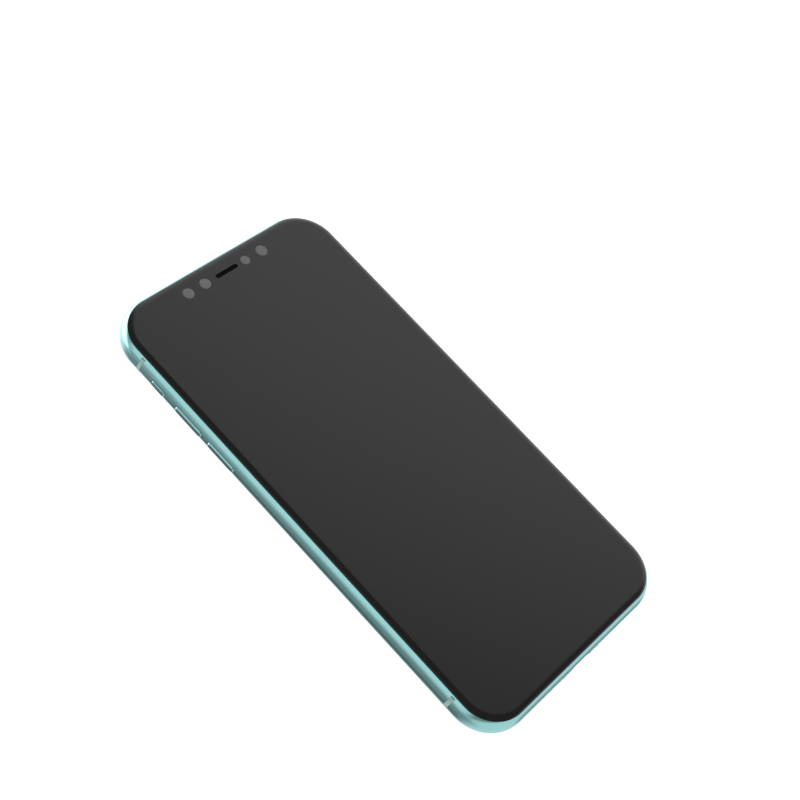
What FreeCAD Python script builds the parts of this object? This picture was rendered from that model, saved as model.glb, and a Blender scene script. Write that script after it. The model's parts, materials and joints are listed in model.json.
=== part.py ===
import FreeCAD, Part
import math
import os

# A magnetic phone mount for a bicycle handlebar, holding a phone.
# Row frame, in millimetres: the origin is the centre of the handlebar clamp's bore, +X runs along
# the bar to the rider's right, +Y points forward and +Z points up.
# Everything above the tilt pivot is drawn in the head's own frame: its origin is the tilt pivot,
# its z axis is the normal of the screen and its y axis points to the top of the phone.

Vector = FreeCAD.Vector
Placement = FreeCAD.Placement
Rotation = FreeCAD.Rotation

AXIS_X = Vector(1, 0, 0)
AXIS_Y = Vector(0, 1, 0)
AXIS_Z = Vector(0, 0, 1)

# Handlebar clamp
BAR_RADIUS = 15.9
SHIM_THICKNESS = 1.2
SHIM_WIDTH = 21.0
RING_WALL = 2.9
CLAMP_WIDTH = 22.0
SPLIT_GAP = 1.5
SHIM_SPLIT_GAP = 1.0
RING_BEVEL = 0.8
SPLIT_ANGLE = -35.0

# Clamp hinge, at the rear of the ring
HINGE_OFFSET = 23.4
HINGE_PIN_RADIUS = 2.0
HINGE_LUG_RADIUS = 4.2
JAW_LUG_WIDTH = 10.0
LUG_SIDE_GAP = 0.2
LUG_SWEEP_GAP = 0.3
PIN_HEAD_RADIUS = 3.2
PIN_HEAD_LENGTH = 1.4
PIN_TAIL = 1.9
CLIP_RADIUS = 3.6
CLIP_THICKNESS = 0.8
CLIP_SETBACK = 0.3
CLIP_MOUTH = 2.4
PIN_GROOVE_DEPTH = 0.5
HINGE_WEB_OVERLAP = 0.5

# Clamp bolt, at the front of the ring
BOLT_OFFSET = 25.3
BOLT_RADIUS = 2.5
EAR_WIDTH = 13.0
EAR_DEPTH = 8.0
EAR_ROOT = 17.0
WASHER_RADIUS = 5.0
WASHER_THICKNESS = 1.0
BOLT_HEAD_RADIUS = 4.25
BOLT_HEAD_HEIGHT = 5.0
BOLT_BEVEL = 0.4
BOLT_REACH = 8.0
BOLT_SOCKET_DEPTH = 2.6
HEX_KEY = 4.0

# Offset arm and tilt pivot
PIVOT = Vector(-28.0, 52.0, 32.0)
PHONE_RISE = 26.0
ARM_WIDTH = 13.0
ARM_THICKNESS = 8.0
ARM_START = 16.0
ARM_BEND = 75.0
ARM_STRAIGHT_END = 8.5
ARM_EDGE_ROUNDING = 1.2
KNUCKLE_RADIUS = 7.5
KNUCKLE_WIDTH = 14.0
RUNNING_CLEARANCE = 0.05

# Tilt fork
LUG_GAP_HALF = 8.0
LUG_THICKNESS = 5.0
FRICTION_WASHER_THICKNESS = 0.95
FRICTION_WASHER_RADIUS = 6.8
TILT_HEAD_RADIUS = 4.6
TILT_HEAD_LENGTH = 3.0
NUT_FLATS = 8.0
NUT_THICKNESS = 4.0
TILT_BOLT_TAIL = 5.2
TILT_BEVEL = 0.5
TILT_SOCKET_DEPTH = 1.8
FORK_PLATE_RADIUS = 18.0
FORK_PLATE_BOTTOM = 9.0
FORK_PLATE_TOP = 14.0
FORK_BEVEL = 1.0

# Swivel between the fork and the magnetic head
SWIVEL_RADIUS = 3.0
SWIVEL_THREAD_RADIUS = 2.5
SWIVEL_HEAD_RADIUS = 4.6
SWIVEL_HEAD_BOTTOM = 9.2
SWIVEL_HEAD_TOP = 11.2
SWIVEL_RECESS_RADIUS = 5.2
SWIVEL_RECESS_FLOOR = 12.0
SWIVEL_HEX_KEY = 3.0
SWIVEL_SOCKET_DEPTH = 1.4
SWIVEL_BEVEL = 0.4
THRUST_WASHER_RADIUS = 12.5
THRUST_WASHER_THICKNESS = 0.6
THRUST_WASHER_GAP = 0.3
DETENT_COUNT = 24
DETENT_OFFSET = 15.5
DETENT_BALL_RADIUS = 1.5
DETENT_BALL_HEIGHT = 13.6
DETENT_BORE_RADIUS = 1.6
DETENT_BOSS_RADIUS = 3.4
DETENT_BOSS_BOTTOM = 5.5
DETENT_BOSS_OVERLAP = 1.0
DETENT_SCREW_TOP = 8.3
DETENT_HEX_KEY = 1.5
DETENT_SOCKET_DEPTH = 1.2
DIMPLE_GAP = 0.1
SPRING_PITCH = 0.85
SPRING_RADIUS = 1.15
SPRING_WIRE_RADIUS = 0.2

# Magnetic head
INDEX_PLATE_RADIUS = 17.5
INDEX_PLATE_THICKNESS = 2.0
INDEX_PLATE_BEVEL = 0.4
HEAD_RADIUS = 24.0
HEAD_FLOOR = 1.5
HEAD_WALL = 3.0
HEAD_HEIGHT = 8.0
HEAD_LOWER_BEVEL = 2.2
HEAD_UPPER_BEVEL = 0.6
BACK_IRON_THICKNESS = 1.5
MAGNET_THICKNESS = 4.0
MAGNET_RADIUS = 4.2
MAGNET_CIRCLE = 14.5
MAGNET_COUNT = 8
CENTRE_MAGNET_RADIUS = 7.0
FACE_PAD_THICKNESS = 1.5
FACE_PAD_BEVEL = 0.4
HOUSING_SCREW_CIRCLE = 9.5
HOUSING_SCREW_COUNT = 3
HOUSING_SCREW_TURN = 30.0
HOUSING_SCREW_HEAD_RADIUS = 2.3
HOUSING_SCREW_RADIUS = 1.25
HOUSING_SCREW_SINK = 0.1
HOUSING_SCREW_CONE_END = 1.2

# Plate on the back of the phone, a little above the phone's middle
STEEL_PLATE_RADIUS = 20.0
STEEL_PLATE_RISE = 6.0
STEEL_PLATE_THICKNESS = 0.8
STEEL_PLATE_BEVEL = 0.15
ADHESIVE_THICKNESS = 0.5
ADHESIVE_INSET = 0.2

# Phone body
PHONE_WIDTH = 76.7
PHONE_LENGTH = 149.3
PHONE_THICKNESS = 8.3
PHONE_CORNER = 12.5
PHONE_EDGE_ROUNDING = 3.4
GLASS_INSET = 1.5
GASKET_THICKNESS = 0.15
GASKET_TOP = -1.0
FRAME_WALL = 2.35
GLASS_THICKNESS = 1.2
BACK_GLASS_THICKNESS = 0.95
BACK_GLASS_GAP = 0.05
ANTENNA_SETBACK = 14.1
ANTENNA_WIDTH = 1.2
ANTENNA_DEPTH = 1.2
INLAY_DEPTH = 0.15
SENSOR_SETBACK = 5.05
# (x, radius) of each window, and the two ends of the slot between them
SENSOR_WINDOWS = ((-13.65, 1.65), (-7.5, 1.65), (7.75, 1.42), (14.1, 1.75))
EARPIECE_LEFT = -3.4
EARPIECE_RIGHT = 4.7
EARPIECE_RADIUS = 0.65

# Phone insides
DISPLAY_WIDTH = 69.0
DISPLAY_LENGTH = 141.5
DISPLAY_CORNER = 9.0
DISPLAY_BOTTOM = -2.2
MID_PLATE_WIDTH = 67.6
MID_PLATE_LENGTH = 131.0
MID_PLATE_CORNER = 8.5
MID_PLATE_BOTTOM = -3.0
BATTERY_WIDTH = 38.0
BATTERY_LENGTH = 92.0
BATTERY_THICKNESS = 3.9
BATTERY_CORNER = 1.5
BATTERY_GAP = 0.1
BATTERY_X = -9.0
BATTERY_Y = -10.0
BOARD_THICKNESS = 1.2
BOARD_LEFT = 12.5
BOARD_RIGHT = 31.0
BOARD_LOW = -55.0
BOARD_HIGH = 64.0
BOARD_ARM = 22.0
BOARD_GAP = 0.4

# Phone buttons, measured from the top edge of the glass
BUTTON_HEIGHT = 2.4
BUTTON_PROUD = 0.35
BUTTON_GAP = 0.08
BUTTON_TRAVEL = 0.3
FLANGE_LIP = 0.6
FLANGE_THICKNESS = 0.6
FLANGE_GAP = 0.02
BUTTON_ROUNDING = 0.28
VOLUME_UP_CENTRE = 34.05
VOLUME_UP_LENGTH = 10.7
VOLUME_DOWN_CENTRE = 46.9
VOLUME_DOWN_LENGTH = 10.5
SIDE_BUTTON_CENTRE = 40.4
SIDE_BUTTON_LENGTH = 17.0
MUTE_CENTRE = 21.8
MUTE_LENGTH = 5.4
MUTE_RECESS = 1.0
MUTE_TRAVEL = 0.8
MUTE_SHOE_HEIGHT = 1.4
MUTE_SHOE_LENGTH = 4.6
MUTE_SHOE_PROUD = 0.2
MUTE_FLOOR_GAP = 0.05
MUTE_STEM_LENGTH = 2.0
MUTE_STEM_REACH = 0.5
MUTE_SLOT_LENGTH = 2.2
MUTE_SLOT_MARGIN = 0.2
SWITCH_GAP = 0.05
SWITCH_DEPTH = 1.2
SWITCH_LENGTH = 4.0
SWITCH_HEIGHT = 2.0

# Phone back and bottom
CAMERA_X = 23.0
CAMERA_Y = 50.0
CAMERA_SPACING = 17.6
CAMERA_PLATE_WIDTH = 15.0
CAMERA_PLATE_LENGTH = 34.0
CAMERA_PLATE_HEIGHT = 1.2
LENS_RADIUS = 5.6
LENS_PROUD = 0.9
LENS_RIM = 1.0
LENS_BEVEL = 0.3
FLASH_RADIUS = 1.8
PORT_WIDTH = 9.0
PORT_HEIGHT = 3.2
PORT_DEPTH = 6.5
PORT_WALL = 0.3
PORT_SETBACK = 0.4
PORT_BACK_WALL = 0.8
TONGUE_WIDTH = 6.4
TONGUE_THICKNESS = 0.7
TONGUE_SETBACK = 1.0
BAND_HOLE_DEPTH = 3.0
SPEAKER_HOLES = 6
SPEAKER_HOLE_RADIUS = 0.75
SPEAKER_PITCH = 2.2
SPEAKER_START = 12.0
BOTTOM_SCREW_X = 7.2
BOTTOM_SCREW_RADIUS = 0.75
BOTTOM_SCREW_LENGTH = 2.0
CROSS_LENGTH = 0.9
CROSS_WIDTH = 0.24
CROSS_DEPTH = 0.3

# How far a cut runs past the surface that it opens
CUT_MARGIN = 1.0

# Worked out from the sizes above
SEAT_RADIUS = BAR_RADIUS + SHIM_THICKNESS
RING_RADIUS = SEAT_RADIUS + RING_WALL
CLAMP_HALF = CLAMP_WIDTH / 2
INDEX_PLATE_BOTTOM = FORK_PLATE_TOP + THRUST_WASHER_THICKNESS
HEAD_BOTTOM = INDEX_PLATE_BOTTOM + INDEX_PLATE_THICKNESS
HEAD_CAVITY_BOTTOM = HEAD_BOTTOM + HEAD_FLOOR
HEAD_CAVITY_RADIUS = HEAD_RADIUS - HEAD_WALL
MAGNET_BOTTOM = HEAD_CAVITY_BOTTOM + BACK_IRON_THICKNESS
MAGNET_TOP = MAGNET_BOTTOM + MAGNET_THICKNESS
HEAD_FACE = MAGNET_TOP + FACE_PAD_THICKNESS
PHONE_BACK = HEAD_FACE + STEEL_PLATE_THICKNESS + ADHESIVE_THICKNESS
PHONE_TOP = PHONE_BACK + PHONE_THICKNESS
HALF_WIDTH = PHONE_WIDTH / 2
HALF_LENGTH = PHONE_LENGTH / 2
GLASS_WIDTH = PHONE_WIDTH - 2 * GLASS_INSET
GLASS_LENGTH = PHONE_LENGTH - 2 * GLASS_INSET
GLASS_CORNER = PHONE_CORNER - GLASS_INSET
GLASS_TOP_EDGE = GLASS_LENGTH / 2
CAVITY_HALF_WIDTH = HALF_WIDTH - FRAME_WALL
MID_HEIGHT = -PHONE_THICKNESS / 2

HEAD_PLACEMENT = Placement(PIVOT, Rotation(AXIS_X, PHONE_RISE))
PHONE_PLACEMENT = HEAD_PLACEMENT.multiply(
    Placement(Vector(0, -STEEL_PLATE_RISE, PHONE_TOP), Rotation())
)
# The clamp is drawn split along its XY plane, then turned about the bar: the hinge up, the bolt down.
CLAMP_PLACEMENT = Placement(Vector(0, 0, 0), Rotation(AXIS_X, SPLIT_ANGLE))


# Simple shapes

def box(x0, x1, y0, y1, z0, z1):
    return Part.makeBox(x1 - x0, y1 - y0, z1 - z0, Vector(x0, y0, z0))


def rod_x(radius, x0, x1, y=0.0, z=0.0):
    return Part.makeCylinder(radius, x1 - x0, Vector(x0, y, z), AXIS_X)


def rod_y(radius, y0, y1, x=0.0, z=0.0):
    return Part.makeCylinder(radius, y1 - y0, Vector(x, y0, z), AXIS_Y)


def rod_z(radius, z0, z1, x=0.0, y=0.0):
    return Part.makeCylinder(radius, z1 - z0, Vector(x, y, z0), AXIS_Z)


def turned(profile, x=0.0, y=0.0):
    """A solid turned about a z axis, from its (radius, height) outline."""
    corners = [Vector(x + radius, y, height) for radius, height in profile]
    face = Part.Face(Part.makePolygon(corners + corners[:1]))
    return face.revolve(Vector(x, y, 0), AXIS_Z, 360)


def turned_about_bar(profile):
    """A solid turned about the bar's axis, from its (x, radius) outline."""
    corners = [Vector(x, 0, radius) for x, radius in profile]
    face = Part.Face(Part.makePolygon(corners + corners[:1]))
    return face.revolve(Vector(0, 0, 0), AXIS_X, 360)


def disc(radius, z0, z1, bevel):
    """A disc with both rims bevelled."""
    outline = [
        (0, z0),
        (radius - bevel, z0),
        (radius, z0 + bevel),
        (radius, z1 - bevel),
        (radius - bevel, z1),
        (0, z1),
    ]
    return turned(outline)


def ring(inner, outer, z0, z1):
    return rod_z(outer, z0, z1).cut(rod_z(inner, z0, z1))


def hexagon(flats, z0, z1):
    """A hexagonal prism about the z axis."""
    corner_radius = flats / math.sqrt(3)
    corners = []
    for index in range(6):
        angle = math.radians(60 * index)
        corners.append(Vector(corner_radius * math.cos(angle), corner_radius * math.sin(angle), z0))
    face = Part.Face(Part.makePolygon(corners + corners[:1]))
    return face.extrude(Vector(0, 0, z1 - z0))


def moved(shape, x=0.0, y=0.0, z=0.0):
    copy = shape.copy()
    copy.translate(Vector(x, y, z))
    return copy


def along_x(shape):
    """Turns a shape drawn about z so that its z axis points along +X."""
    copy = shape.copy()
    copy.rotate(Vector(0, 0, 0), AXIS_Y, 90)
    return copy


def spread(shape, count, start=0.0):
    """Copies of a shape, evenly spaced round the z axis."""
    copies = []
    for index in range(count):
        copy = shape.copy()
        copy.rotate(Vector(0, 0, 0), AXIS_Z, start + 360.0 * index / count)
        copies.append(copy)
    return copies


def upright_edges(solid, direction):
    """The straight edges that run along a direction."""
    found = []
    for edge in solid.Edges:
        if isinstance(edge.Curve, Part.Line):
            tangent = edge.tangentAt(edge.FirstParameter)
            if abs(tangent.dot(direction)) > 0.99:
                found.append(edge)
    return found


def rounded_prism(width, length, corner, z0, z1):
    """A block centred on the z axis with its four upright edges rounded."""
    prism = box(-width / 2, width / 2, -length / 2, length / 2, z0, z1)
    return prism.makeFillet(corner, upright_edges(prism, AXIS_Z))


def pill_x(length, height, x0, x1, y, z):
    """A bar through the phone's side: a long rounded outline, drawn along x."""
    radius = height / 2
    reach = length / 2 - radius
    middle = box(x0, x1, y - reach, y + reach, z - radius, z + radius)
    ends = [rod_x(radius, x0, x1, y - reach, z), rod_x(radius, x0, x1, y + reach, z)]
    return middle.fuse(ends).removeSplitter()


def pill_y(length, height, y0, y1, z):
    """The same rounded outline, drawn along y for the phone's bottom edge."""
    radius = height / 2
    reach = length / 2 - radius
    middle = box(-reach, reach, y0, y1, z - radius, z + radius)
    ends = [rod_y(radius, y0, y1, -reach, z), rod_y(radius, y0, y1, reach, z)]
    return middle.fuse(ends).removeSplitter()


def save(node, shape, placement=None):
    """Writes one node's solids, moved to their place in the row frame."""
    placed = shape.copy()
    if placement is not None:
        placed.Placement = placement.multiply(placed.Placement)
    if not placed.isValid():
        raise ValueError(node + " is not a valid shape")
    placed.exportStep("parts/" + node + ".step")


def save_group(node, solids, placement=None):
    save(node, Part.makeCompound(solids), placement)


# Handlebar clamp

def half_ring(upper):
    """Half of the clamp's ring, with bevelled rims, above or below the split."""
    outline = [
        (-CLAMP_HALF, SEAT_RADIUS),
        (-CLAMP_HALF, RING_RADIUS - RING_BEVEL),
        (-CLAMP_HALF + RING_BEVEL, RING_RADIUS),
        (CLAMP_HALF - RING_BEVEL, RING_RADIUS),
        (CLAMP_HALF, RING_RADIUS - RING_BEVEL),
        (CLAMP_HALF, SEAT_RADIUS),
    ]
    whole = turned_about_bar(outline)
    reach = RING_RADIUS + CUT_MARGIN
    if upper:
        return whole.common(box(-CLAMP_HALF, CLAMP_HALF, -reach, reach, SPLIT_GAP / 2, reach))
    return whole.common(box(-CLAMP_HALF, CLAMP_HALF, -reach, reach, -reach, -SPLIT_GAP / 2))


def half_shim(upper):
    """Half of the rubber shim that lines the ring."""
    half = SHIM_WIDTH / 2
    whole = rod_x(SEAT_RADIUS, -half, half).cut(rod_x(BAR_RADIUS, -half, half))
    gap = SHIM_SPLIT_GAP / 2
    if upper:
        return whole.common(box(-half, half, -SEAT_RADIUS, SEAT_RADIUS, gap, SEAT_RADIUS))
    return whole.common(box(-half, half, -SEAT_RADIUS, SEAT_RADIUS, -SEAT_RADIUS, -gap))


def ear(z0, z1):
    """The lug that the clamp bolt passes through, with a round end."""
    block = box(-EAR_WIDTH / 2, EAR_WIDTH / 2, EAR_ROOT, BOLT_OFFSET, z0, z1)
    return block.fuse(rod_z(EAR_WIDTH / 2, z0, z1, 0, BOLT_OFFSET)).removeSplitter()


def hinge_lug(x0, x1, upper):
    """A hinge eye joined to its half of the ring."""
    eye = rod_x(HINGE_LUG_RADIUS, x0, x1, -HINGE_OFFSET, 0)
    inner = -(SEAT_RADIUS + HINGE_WEB_OVERLAP)
    if upper:
        web = box(x0, x1, -HINGE_OFFSET, inner, SPLIT_GAP / 2, HINGE_LUG_RADIUS)
    else:
        web = box(x0, x1, -HINGE_OFFSET, inner, -HINGE_LUG_RADIUS, -SPLIT_GAP / 2)
    return eye.fuse(web)


def hinge_sweep(x0, x1):
    """The space that a hinge eye of the other half turns in."""
    return rod_x(HINGE_LUG_RADIUS + LUG_SWEEP_GAP, x0, x1, -HINGE_OFFSET, 0)


def bend_shape(lateral, advance, bend):
    """Radius of the two equal bends, and the straight between them, of an S that
    shifts sideways by lateral while it moves on by advance."""
    sine = math.sin(math.radians(bend))
    cosine = math.cos(math.radians(bend))
    side_per_radius = 2 * (1 - cosine)
    advance_per_radius = 2 * sine
    scale = side_per_radius * cosine - advance_per_radius * sine
    radius = (lateral * cosine - advance * sine) / scale
    straight = (side_per_radius * advance - advance_per_radius * lateral) / scale
    return radius, straight


def bend_sector(radius, centre_x, centre_y, first_angle, height):
    """One bend of the arm's plan: ARM_WIDTH wide and ARM_BEND degrees long."""
    centre = Vector(centre_x, centre_y, 0)
    outer = Part.makeCylinder(radius + ARM_WIDTH / 2, height, centre, AXIS_Z, ARM_BEND)
    inner = Part.makeCylinder(radius - ARM_WIDTH / 2, height, centre, AXIS_Z)
    sector = outer.cut(inner)
    sector.rotate(centre, AXIS_Z, first_angle)
    return sector


def arm_blank():
    """The arm: an S in plan, cut from a slab that rises parallel to the phone."""
    height = 2 * PIVOT.z
    half = ARM_WIDTH / 2
    lateral = -PIVOT.x
    advance = PIVOT.y - ARM_STRAIGHT_END - ARM_START
    radius, straight = bend_shape(lateral, advance, ARM_BEND)
    sine = math.sin(math.radians(ARM_BEND))
    cosine = math.cos(math.radians(ARM_BEND))

    root = box(-half, half, 0, ARM_START, 0, height)
    first = bend_sector(radius, -radius, ARM_START, 0, height)
    middle_x = -radius + radius * cosine
    middle_y = ARM_START + radius * sine
    middle = box(-half, half, 0, straight, 0, height)
    middle.rotate(Vector(0, 0, 0), AXIS_Z, ARM_BEND)
    middle.translate(Vector(middle_x, middle_y, 0))
    second_y = PIVOT.y - ARM_STRAIGHT_END
    second = bend_sector(radius, PIVOT.x + radius, second_y, 180, height)
    tip = box(PIVOT.x - half, PIVOT.x + half, second_y, PIVOT.y, 0, height)
    plan = root.fuse([first, middle, second, tip]).removeSplitter()

    reach = 2 * PIVOT.y
    slab = box(-reach, reach, -reach, 0, -ARM_THICKNESS / 2, ARM_THICKNESS / 2)
    slab.Placement = HEAD_PLACEMENT
    return plan.common(slab)


def rounded_arm():
    """The arm with its long edges rounded over."""
    blank = arm_blank()
    normal = HEAD_PLACEMENT.Rotation.multVec(AXIS_Z)
    long_edges = []
    for edge in blank.Edges:
        middle = edge.valueAt((edge.FirstParameter + edge.LastParameter) / 2)
        height = (middle - PIVOT).dot(normal)
        start = edge.valueAt(edge.FirstParameter)
        end = edge.valueAt(edge.LastParameter)
        on_face = abs(abs(height) - ARM_THICKNESS / 2) < 0.01
        across = abs(start.y - end.y) < 0.01
        if on_face and not across:
            long_edges.append(edge)
    return blank.makeFillet(ARM_EDGE_ROUNDING, long_edges)


def clamp_arm():
    """Upper half of the clamp, its hinge eyes and ear, the arm and the tilt knuckle."""
    inner_lug = JAW_LUG_WIDTH / 2 + LUG_SIDE_GAP
    half = half_ring(True).fuse([
        hinge_lug(-CLAMP_HALF, -inner_lug, True),
        hinge_lug(inner_lug, CLAMP_HALF, True),
        ear(SPLIT_GAP / 2, SPLIT_GAP / 2 + EAR_DEPTH),
    ])
    half.Placement = CLAMP_PLACEMENT
    knuckle_start = PIVOT.x - KNUCKLE_WIDTH / 2
    knuckle = rod_x(
        KNUCKLE_RADIUS, knuckle_start, knuckle_start + KNUCKLE_WIDTH, PIVOT.y, PIVOT.z
    )
    knuckle_bore = rod_x(
        BOLT_RADIUS + RUNNING_CLEARANCE, 2 * PIVOT.x, 0, PIVOT.y, PIVOT.z
    )
    bolt_room = rod_z(
        BOLT_RADIUS + RUNNING_CLEARANCE, 0, SPLIT_GAP / 2 + EAR_DEPTH, 0, BOLT_OFFSET
    )
    clamp_cuts = Part.makeCompound([
        hinge_sweep(-inner_lug, inner_lug),
        rod_x(HINGE_PIN_RADIUS, -CLAMP_HALF, CLAMP_HALF, -HINGE_OFFSET, 0),
        bolt_room,
    ])
    clamp_cuts.Placement = CLAMP_PLACEMENT
    seat = rod_x(SEAT_RADIUS, -CLAMP_HALF, CLAMP_HALF)
    body = half.fuse([rounded_arm(), knuckle])
    return body.cut([seat, clamp_cuts, knuckle_bore]).removeSplitter()


def lower_jaw():
    """Lower half of the clamp, which swings down on the hinge pin."""
    lug_half = JAW_LUG_WIDTH / 2
    body = half_ring(False).fuse([
        hinge_lug(-lug_half, lug_half, False),
        ear(-SPLIT_GAP / 2 - EAR_DEPTH, -SPLIT_GAP / 2),
    ])
    cuts = [
        rod_x(SEAT_RADIUS, -CLAMP_HALF, CLAMP_HALF),
        hinge_sweep(lug_half, CLAMP_HALF),
        hinge_sweep(-CLAMP_HALF, -lug_half),
        rod_x(HINGE_PIN_RADIUS + RUNNING_CLEARANCE, -CLAMP_HALF, CLAMP_HALF, -HINGE_OFFSET, 0),
        rod_z(BOLT_RADIUS + RUNNING_CLEARANCE, -RING_RADIUS, 0, 0, BOLT_OFFSET),
    ]
    return body.cut(cuts).removeSplitter()


def hinge_pin():
    """A headed pin whose tail stands out of the far eye for its clip."""
    shank = rod_x(HINGE_PIN_RADIUS, -CLAMP_HALF, CLAMP_HALF + PIN_TAIL, -HINGE_OFFSET, 0)
    head = rod_x(PIN_HEAD_RADIUS, -CLAMP_HALF - PIN_HEAD_LENGTH, -CLAMP_HALF, -HINGE_OFFSET, 0)
    groove_start = CLAMP_HALF + CLIP_SETBACK
    groove_end = groove_start + CLIP_THICKNESS
    core_radius = HINGE_PIN_RADIUS - PIN_GROOVE_DEPTH
    core = rod_x(core_radius, groove_start, groove_end, -HINGE_OFFSET, 0)
    groove = rod_x(HINGE_PIN_RADIUS, groove_start, groove_end, -HINGE_OFFSET, 0).cut(core)
    return shank.fuse(head).cut(groove).removeSplitter()


def pin_clip():
    """An open ring clip that snaps into the pin's groove."""
    start = CLAMP_HALF + CLIP_SETBACK
    end = start + CLIP_THICKNESS
    plate = rod_x(CLIP_RADIUS, start, end, -HINGE_OFFSET, 0)
    hole = rod_x(HINGE_PIN_RADIUS - PIN_GROOVE_DEPTH, start, end, -HINGE_OFFSET, 0)
    mouth_start = -HINGE_OFFSET - CLIP_MOUTH / 2
    mouth = box(start, end, mouth_start, mouth_start + CLIP_MOUTH, -CLIP_RADIUS, 0)
    return plate.cut([hole, mouth])


def clamp_bolt():
    """Socket-head bolt, entering from below."""
    seat = -SPLIT_GAP / 2 - EAR_DEPTH - WASHER_THICKNESS
    base = seat - BOLT_HEAD_HEIGHT
    profile = [
        (0, base),
        (BOLT_HEAD_RADIUS - BOLT_BEVEL, base),
        (BOLT_HEAD_RADIUS, base + BOLT_BEVEL),
        (BOLT_HEAD_RADIUS, seat),
        (BOLT_RADIUS, seat),
        (BOLT_RADIUS, BOLT_REACH - BOLT_BEVEL),
        (BOLT_RADIUS - BOLT_BEVEL, BOLT_REACH),
        (0, BOLT_REACH),
    ]
    socket = moved(hexagon(HEX_KEY, base, base + BOLT_SOCKET_DEPTH), 0, BOLT_OFFSET, 0)
    return turned(profile, 0, BOLT_OFFSET).cut(socket)


def bolt_washer():
    top = -SPLIT_GAP / 2 - EAR_DEPTH
    outer = rod_z(WASHER_RADIUS, top - WASHER_THICKNESS, top, 0, BOLT_OFFSET)
    hole = rod_z(BOLT_RADIUS, top - WASHER_THICKNESS, top, 0, BOLT_OFFSET)
    return outer.cut(hole)


# Tilt fork and its bolt, in the head's frame

def detent_bore(z0, z1):
    return rod_z(DETENT_BORE_RADIUS, z0, z1, 0, DETENT_OFFSET)


def tilt_fork():
    """Two lugs under a round plate that carries the swivel."""
    plate = disc(FORK_PLATE_RADIUS, FORK_PLATE_BOTTOM, FORK_PLATE_TOP, FORK_BEVEL)
    boss_top = FORK_PLATE_BOTTOM + DETENT_BOSS_OVERLAP
    parts = [rod_z(DETENT_BOSS_RADIUS, DETENT_BOSS_BOTTOM, boss_top, 0, DETENT_OFFSET)]
    for x0 in (-LUG_GAP_HALF - LUG_THICKNESS, LUG_GAP_HALF):
        x1 = x0 + LUG_THICKNESS
        parts.append(rod_x(KNUCKLE_RADIUS, x0, x1))
        web = box(x0, x1, -KNUCKLE_RADIUS, KNUCKLE_RADIUS, 0, FORK_PLATE_BOTTOM + FORK_BEVEL)
        parts.append(web)
    outer = LUG_GAP_HALF + LUG_THICKNESS
    cuts = [
        rod_x(BOLT_RADIUS, -outer, outer),
        rod_z(SWIVEL_RECESS_RADIUS, FORK_PLATE_BOTTOM, SWIVEL_RECESS_FLOOR),
        rod_z(SWIVEL_RADIUS + RUNNING_CLEARANCE, FORK_PLATE_BOTTOM, FORK_PLATE_TOP),
        detent_bore(DETENT_BOSS_BOTTOM, FORK_PLATE_TOP),
    ]
    return plate.fuse(parts).removeSplitter().cut(cuts)


def tilt_bolt():
    """Low-head socket bolt through both lugs and the knuckle."""
    outer = LUG_GAP_HALF + LUG_THICKNESS
    tail = -outer - TILT_BOLT_TAIL
    top = outer + TILT_HEAD_LENGTH
    profile = [
        (0, tail),
        (BOLT_RADIUS - TILT_BEVEL, tail),
        (BOLT_RADIUS, tail + TILT_BEVEL),
        (BOLT_RADIUS, outer),
        (TILT_HEAD_RADIUS, outer),
        (TILT_HEAD_RADIUS, top - TILT_BEVEL),
        (TILT_HEAD_RADIUS - TILT_BEVEL, top),
        (0, top),
    ]
    socket = hexagon(HEX_KEY, top - TILT_SOCKET_DEPTH, top)
    return along_x(turned(profile).cut(socket))


def tilt_nut():
    inner = -LUG_GAP_HALF - LUG_THICKNESS
    outer = inner - NUT_THICKNESS
    blank = hexagon(NUT_FLATS, outer, inner)
    corner_radius = NUT_FLATS / math.sqrt(3)
    rounded = turned([
        (0, outer),
        (corner_radius - TILT_BEVEL, outer),
        (corner_radius, outer + TILT_BEVEL),
        (corner_radius, inner),
        (0, inner),
    ])
    hole = rod_z(BOLT_RADIUS, outer, inner)
    return along_x(blank.common(rounded).cut(hole))


def friction_washers():
    """Thin washers between the knuckle and the lugs."""
    washers = []
    for start in (-LUG_GAP_HALF, LUG_GAP_HALF - FRICTION_WASHER_THICKNESS):
        end = start + FRICTION_WASHER_THICKNESS
        washers.append(along_x(ring(BOLT_RADIUS, FRICTION_WASHER_RADIUS, start, end)))
    return washers


def detent_spring():
    """A small coil spring that presses the detent ball up."""
    bottom = DETENT_SCREW_TOP + SPRING_WIRE_RADIUS
    top = DETENT_BALL_HEIGHT - DETENT_BALL_RADIUS - SPRING_WIRE_RADIUS
    helix = Part.makeHelix(SPRING_PITCH, top - bottom, SPRING_RADIUS)
    section = Part.Wire(Part.makeCircle(SPRING_WIRE_RADIUS, Vector(SPRING_RADIUS, 0, 0), AXIS_Y))
    coil = Part.Wire(helix.Edges).makePipeShell([section], True, True)
    return moved(coil, 0, DETENT_OFFSET, bottom)


def detent_ball():
    return Part.makeSphere(DETENT_BALL_RADIUS, Vector(0, DETENT_OFFSET, DETENT_BALL_HEIGHT))


def detent_screw():
    bottom = DETENT_BOSS_BOTTOM
    socket = hexagon(DETENT_HEX_KEY, bottom, bottom + DETENT_SOCKET_DEPTH)
    return detent_bore(bottom, DETENT_SCREW_TOP).cut(moved(socket, 0, DETENT_OFFSET, 0))


def thrust_washer():
    hole = SWIVEL_RADIUS + THRUST_WASHER_GAP
    return ring(hole, THRUST_WASHER_RADIUS, FORK_PLATE_TOP, INDEX_PLATE_BOTTOM)


# Magnetic head, in the head's frame

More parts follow.
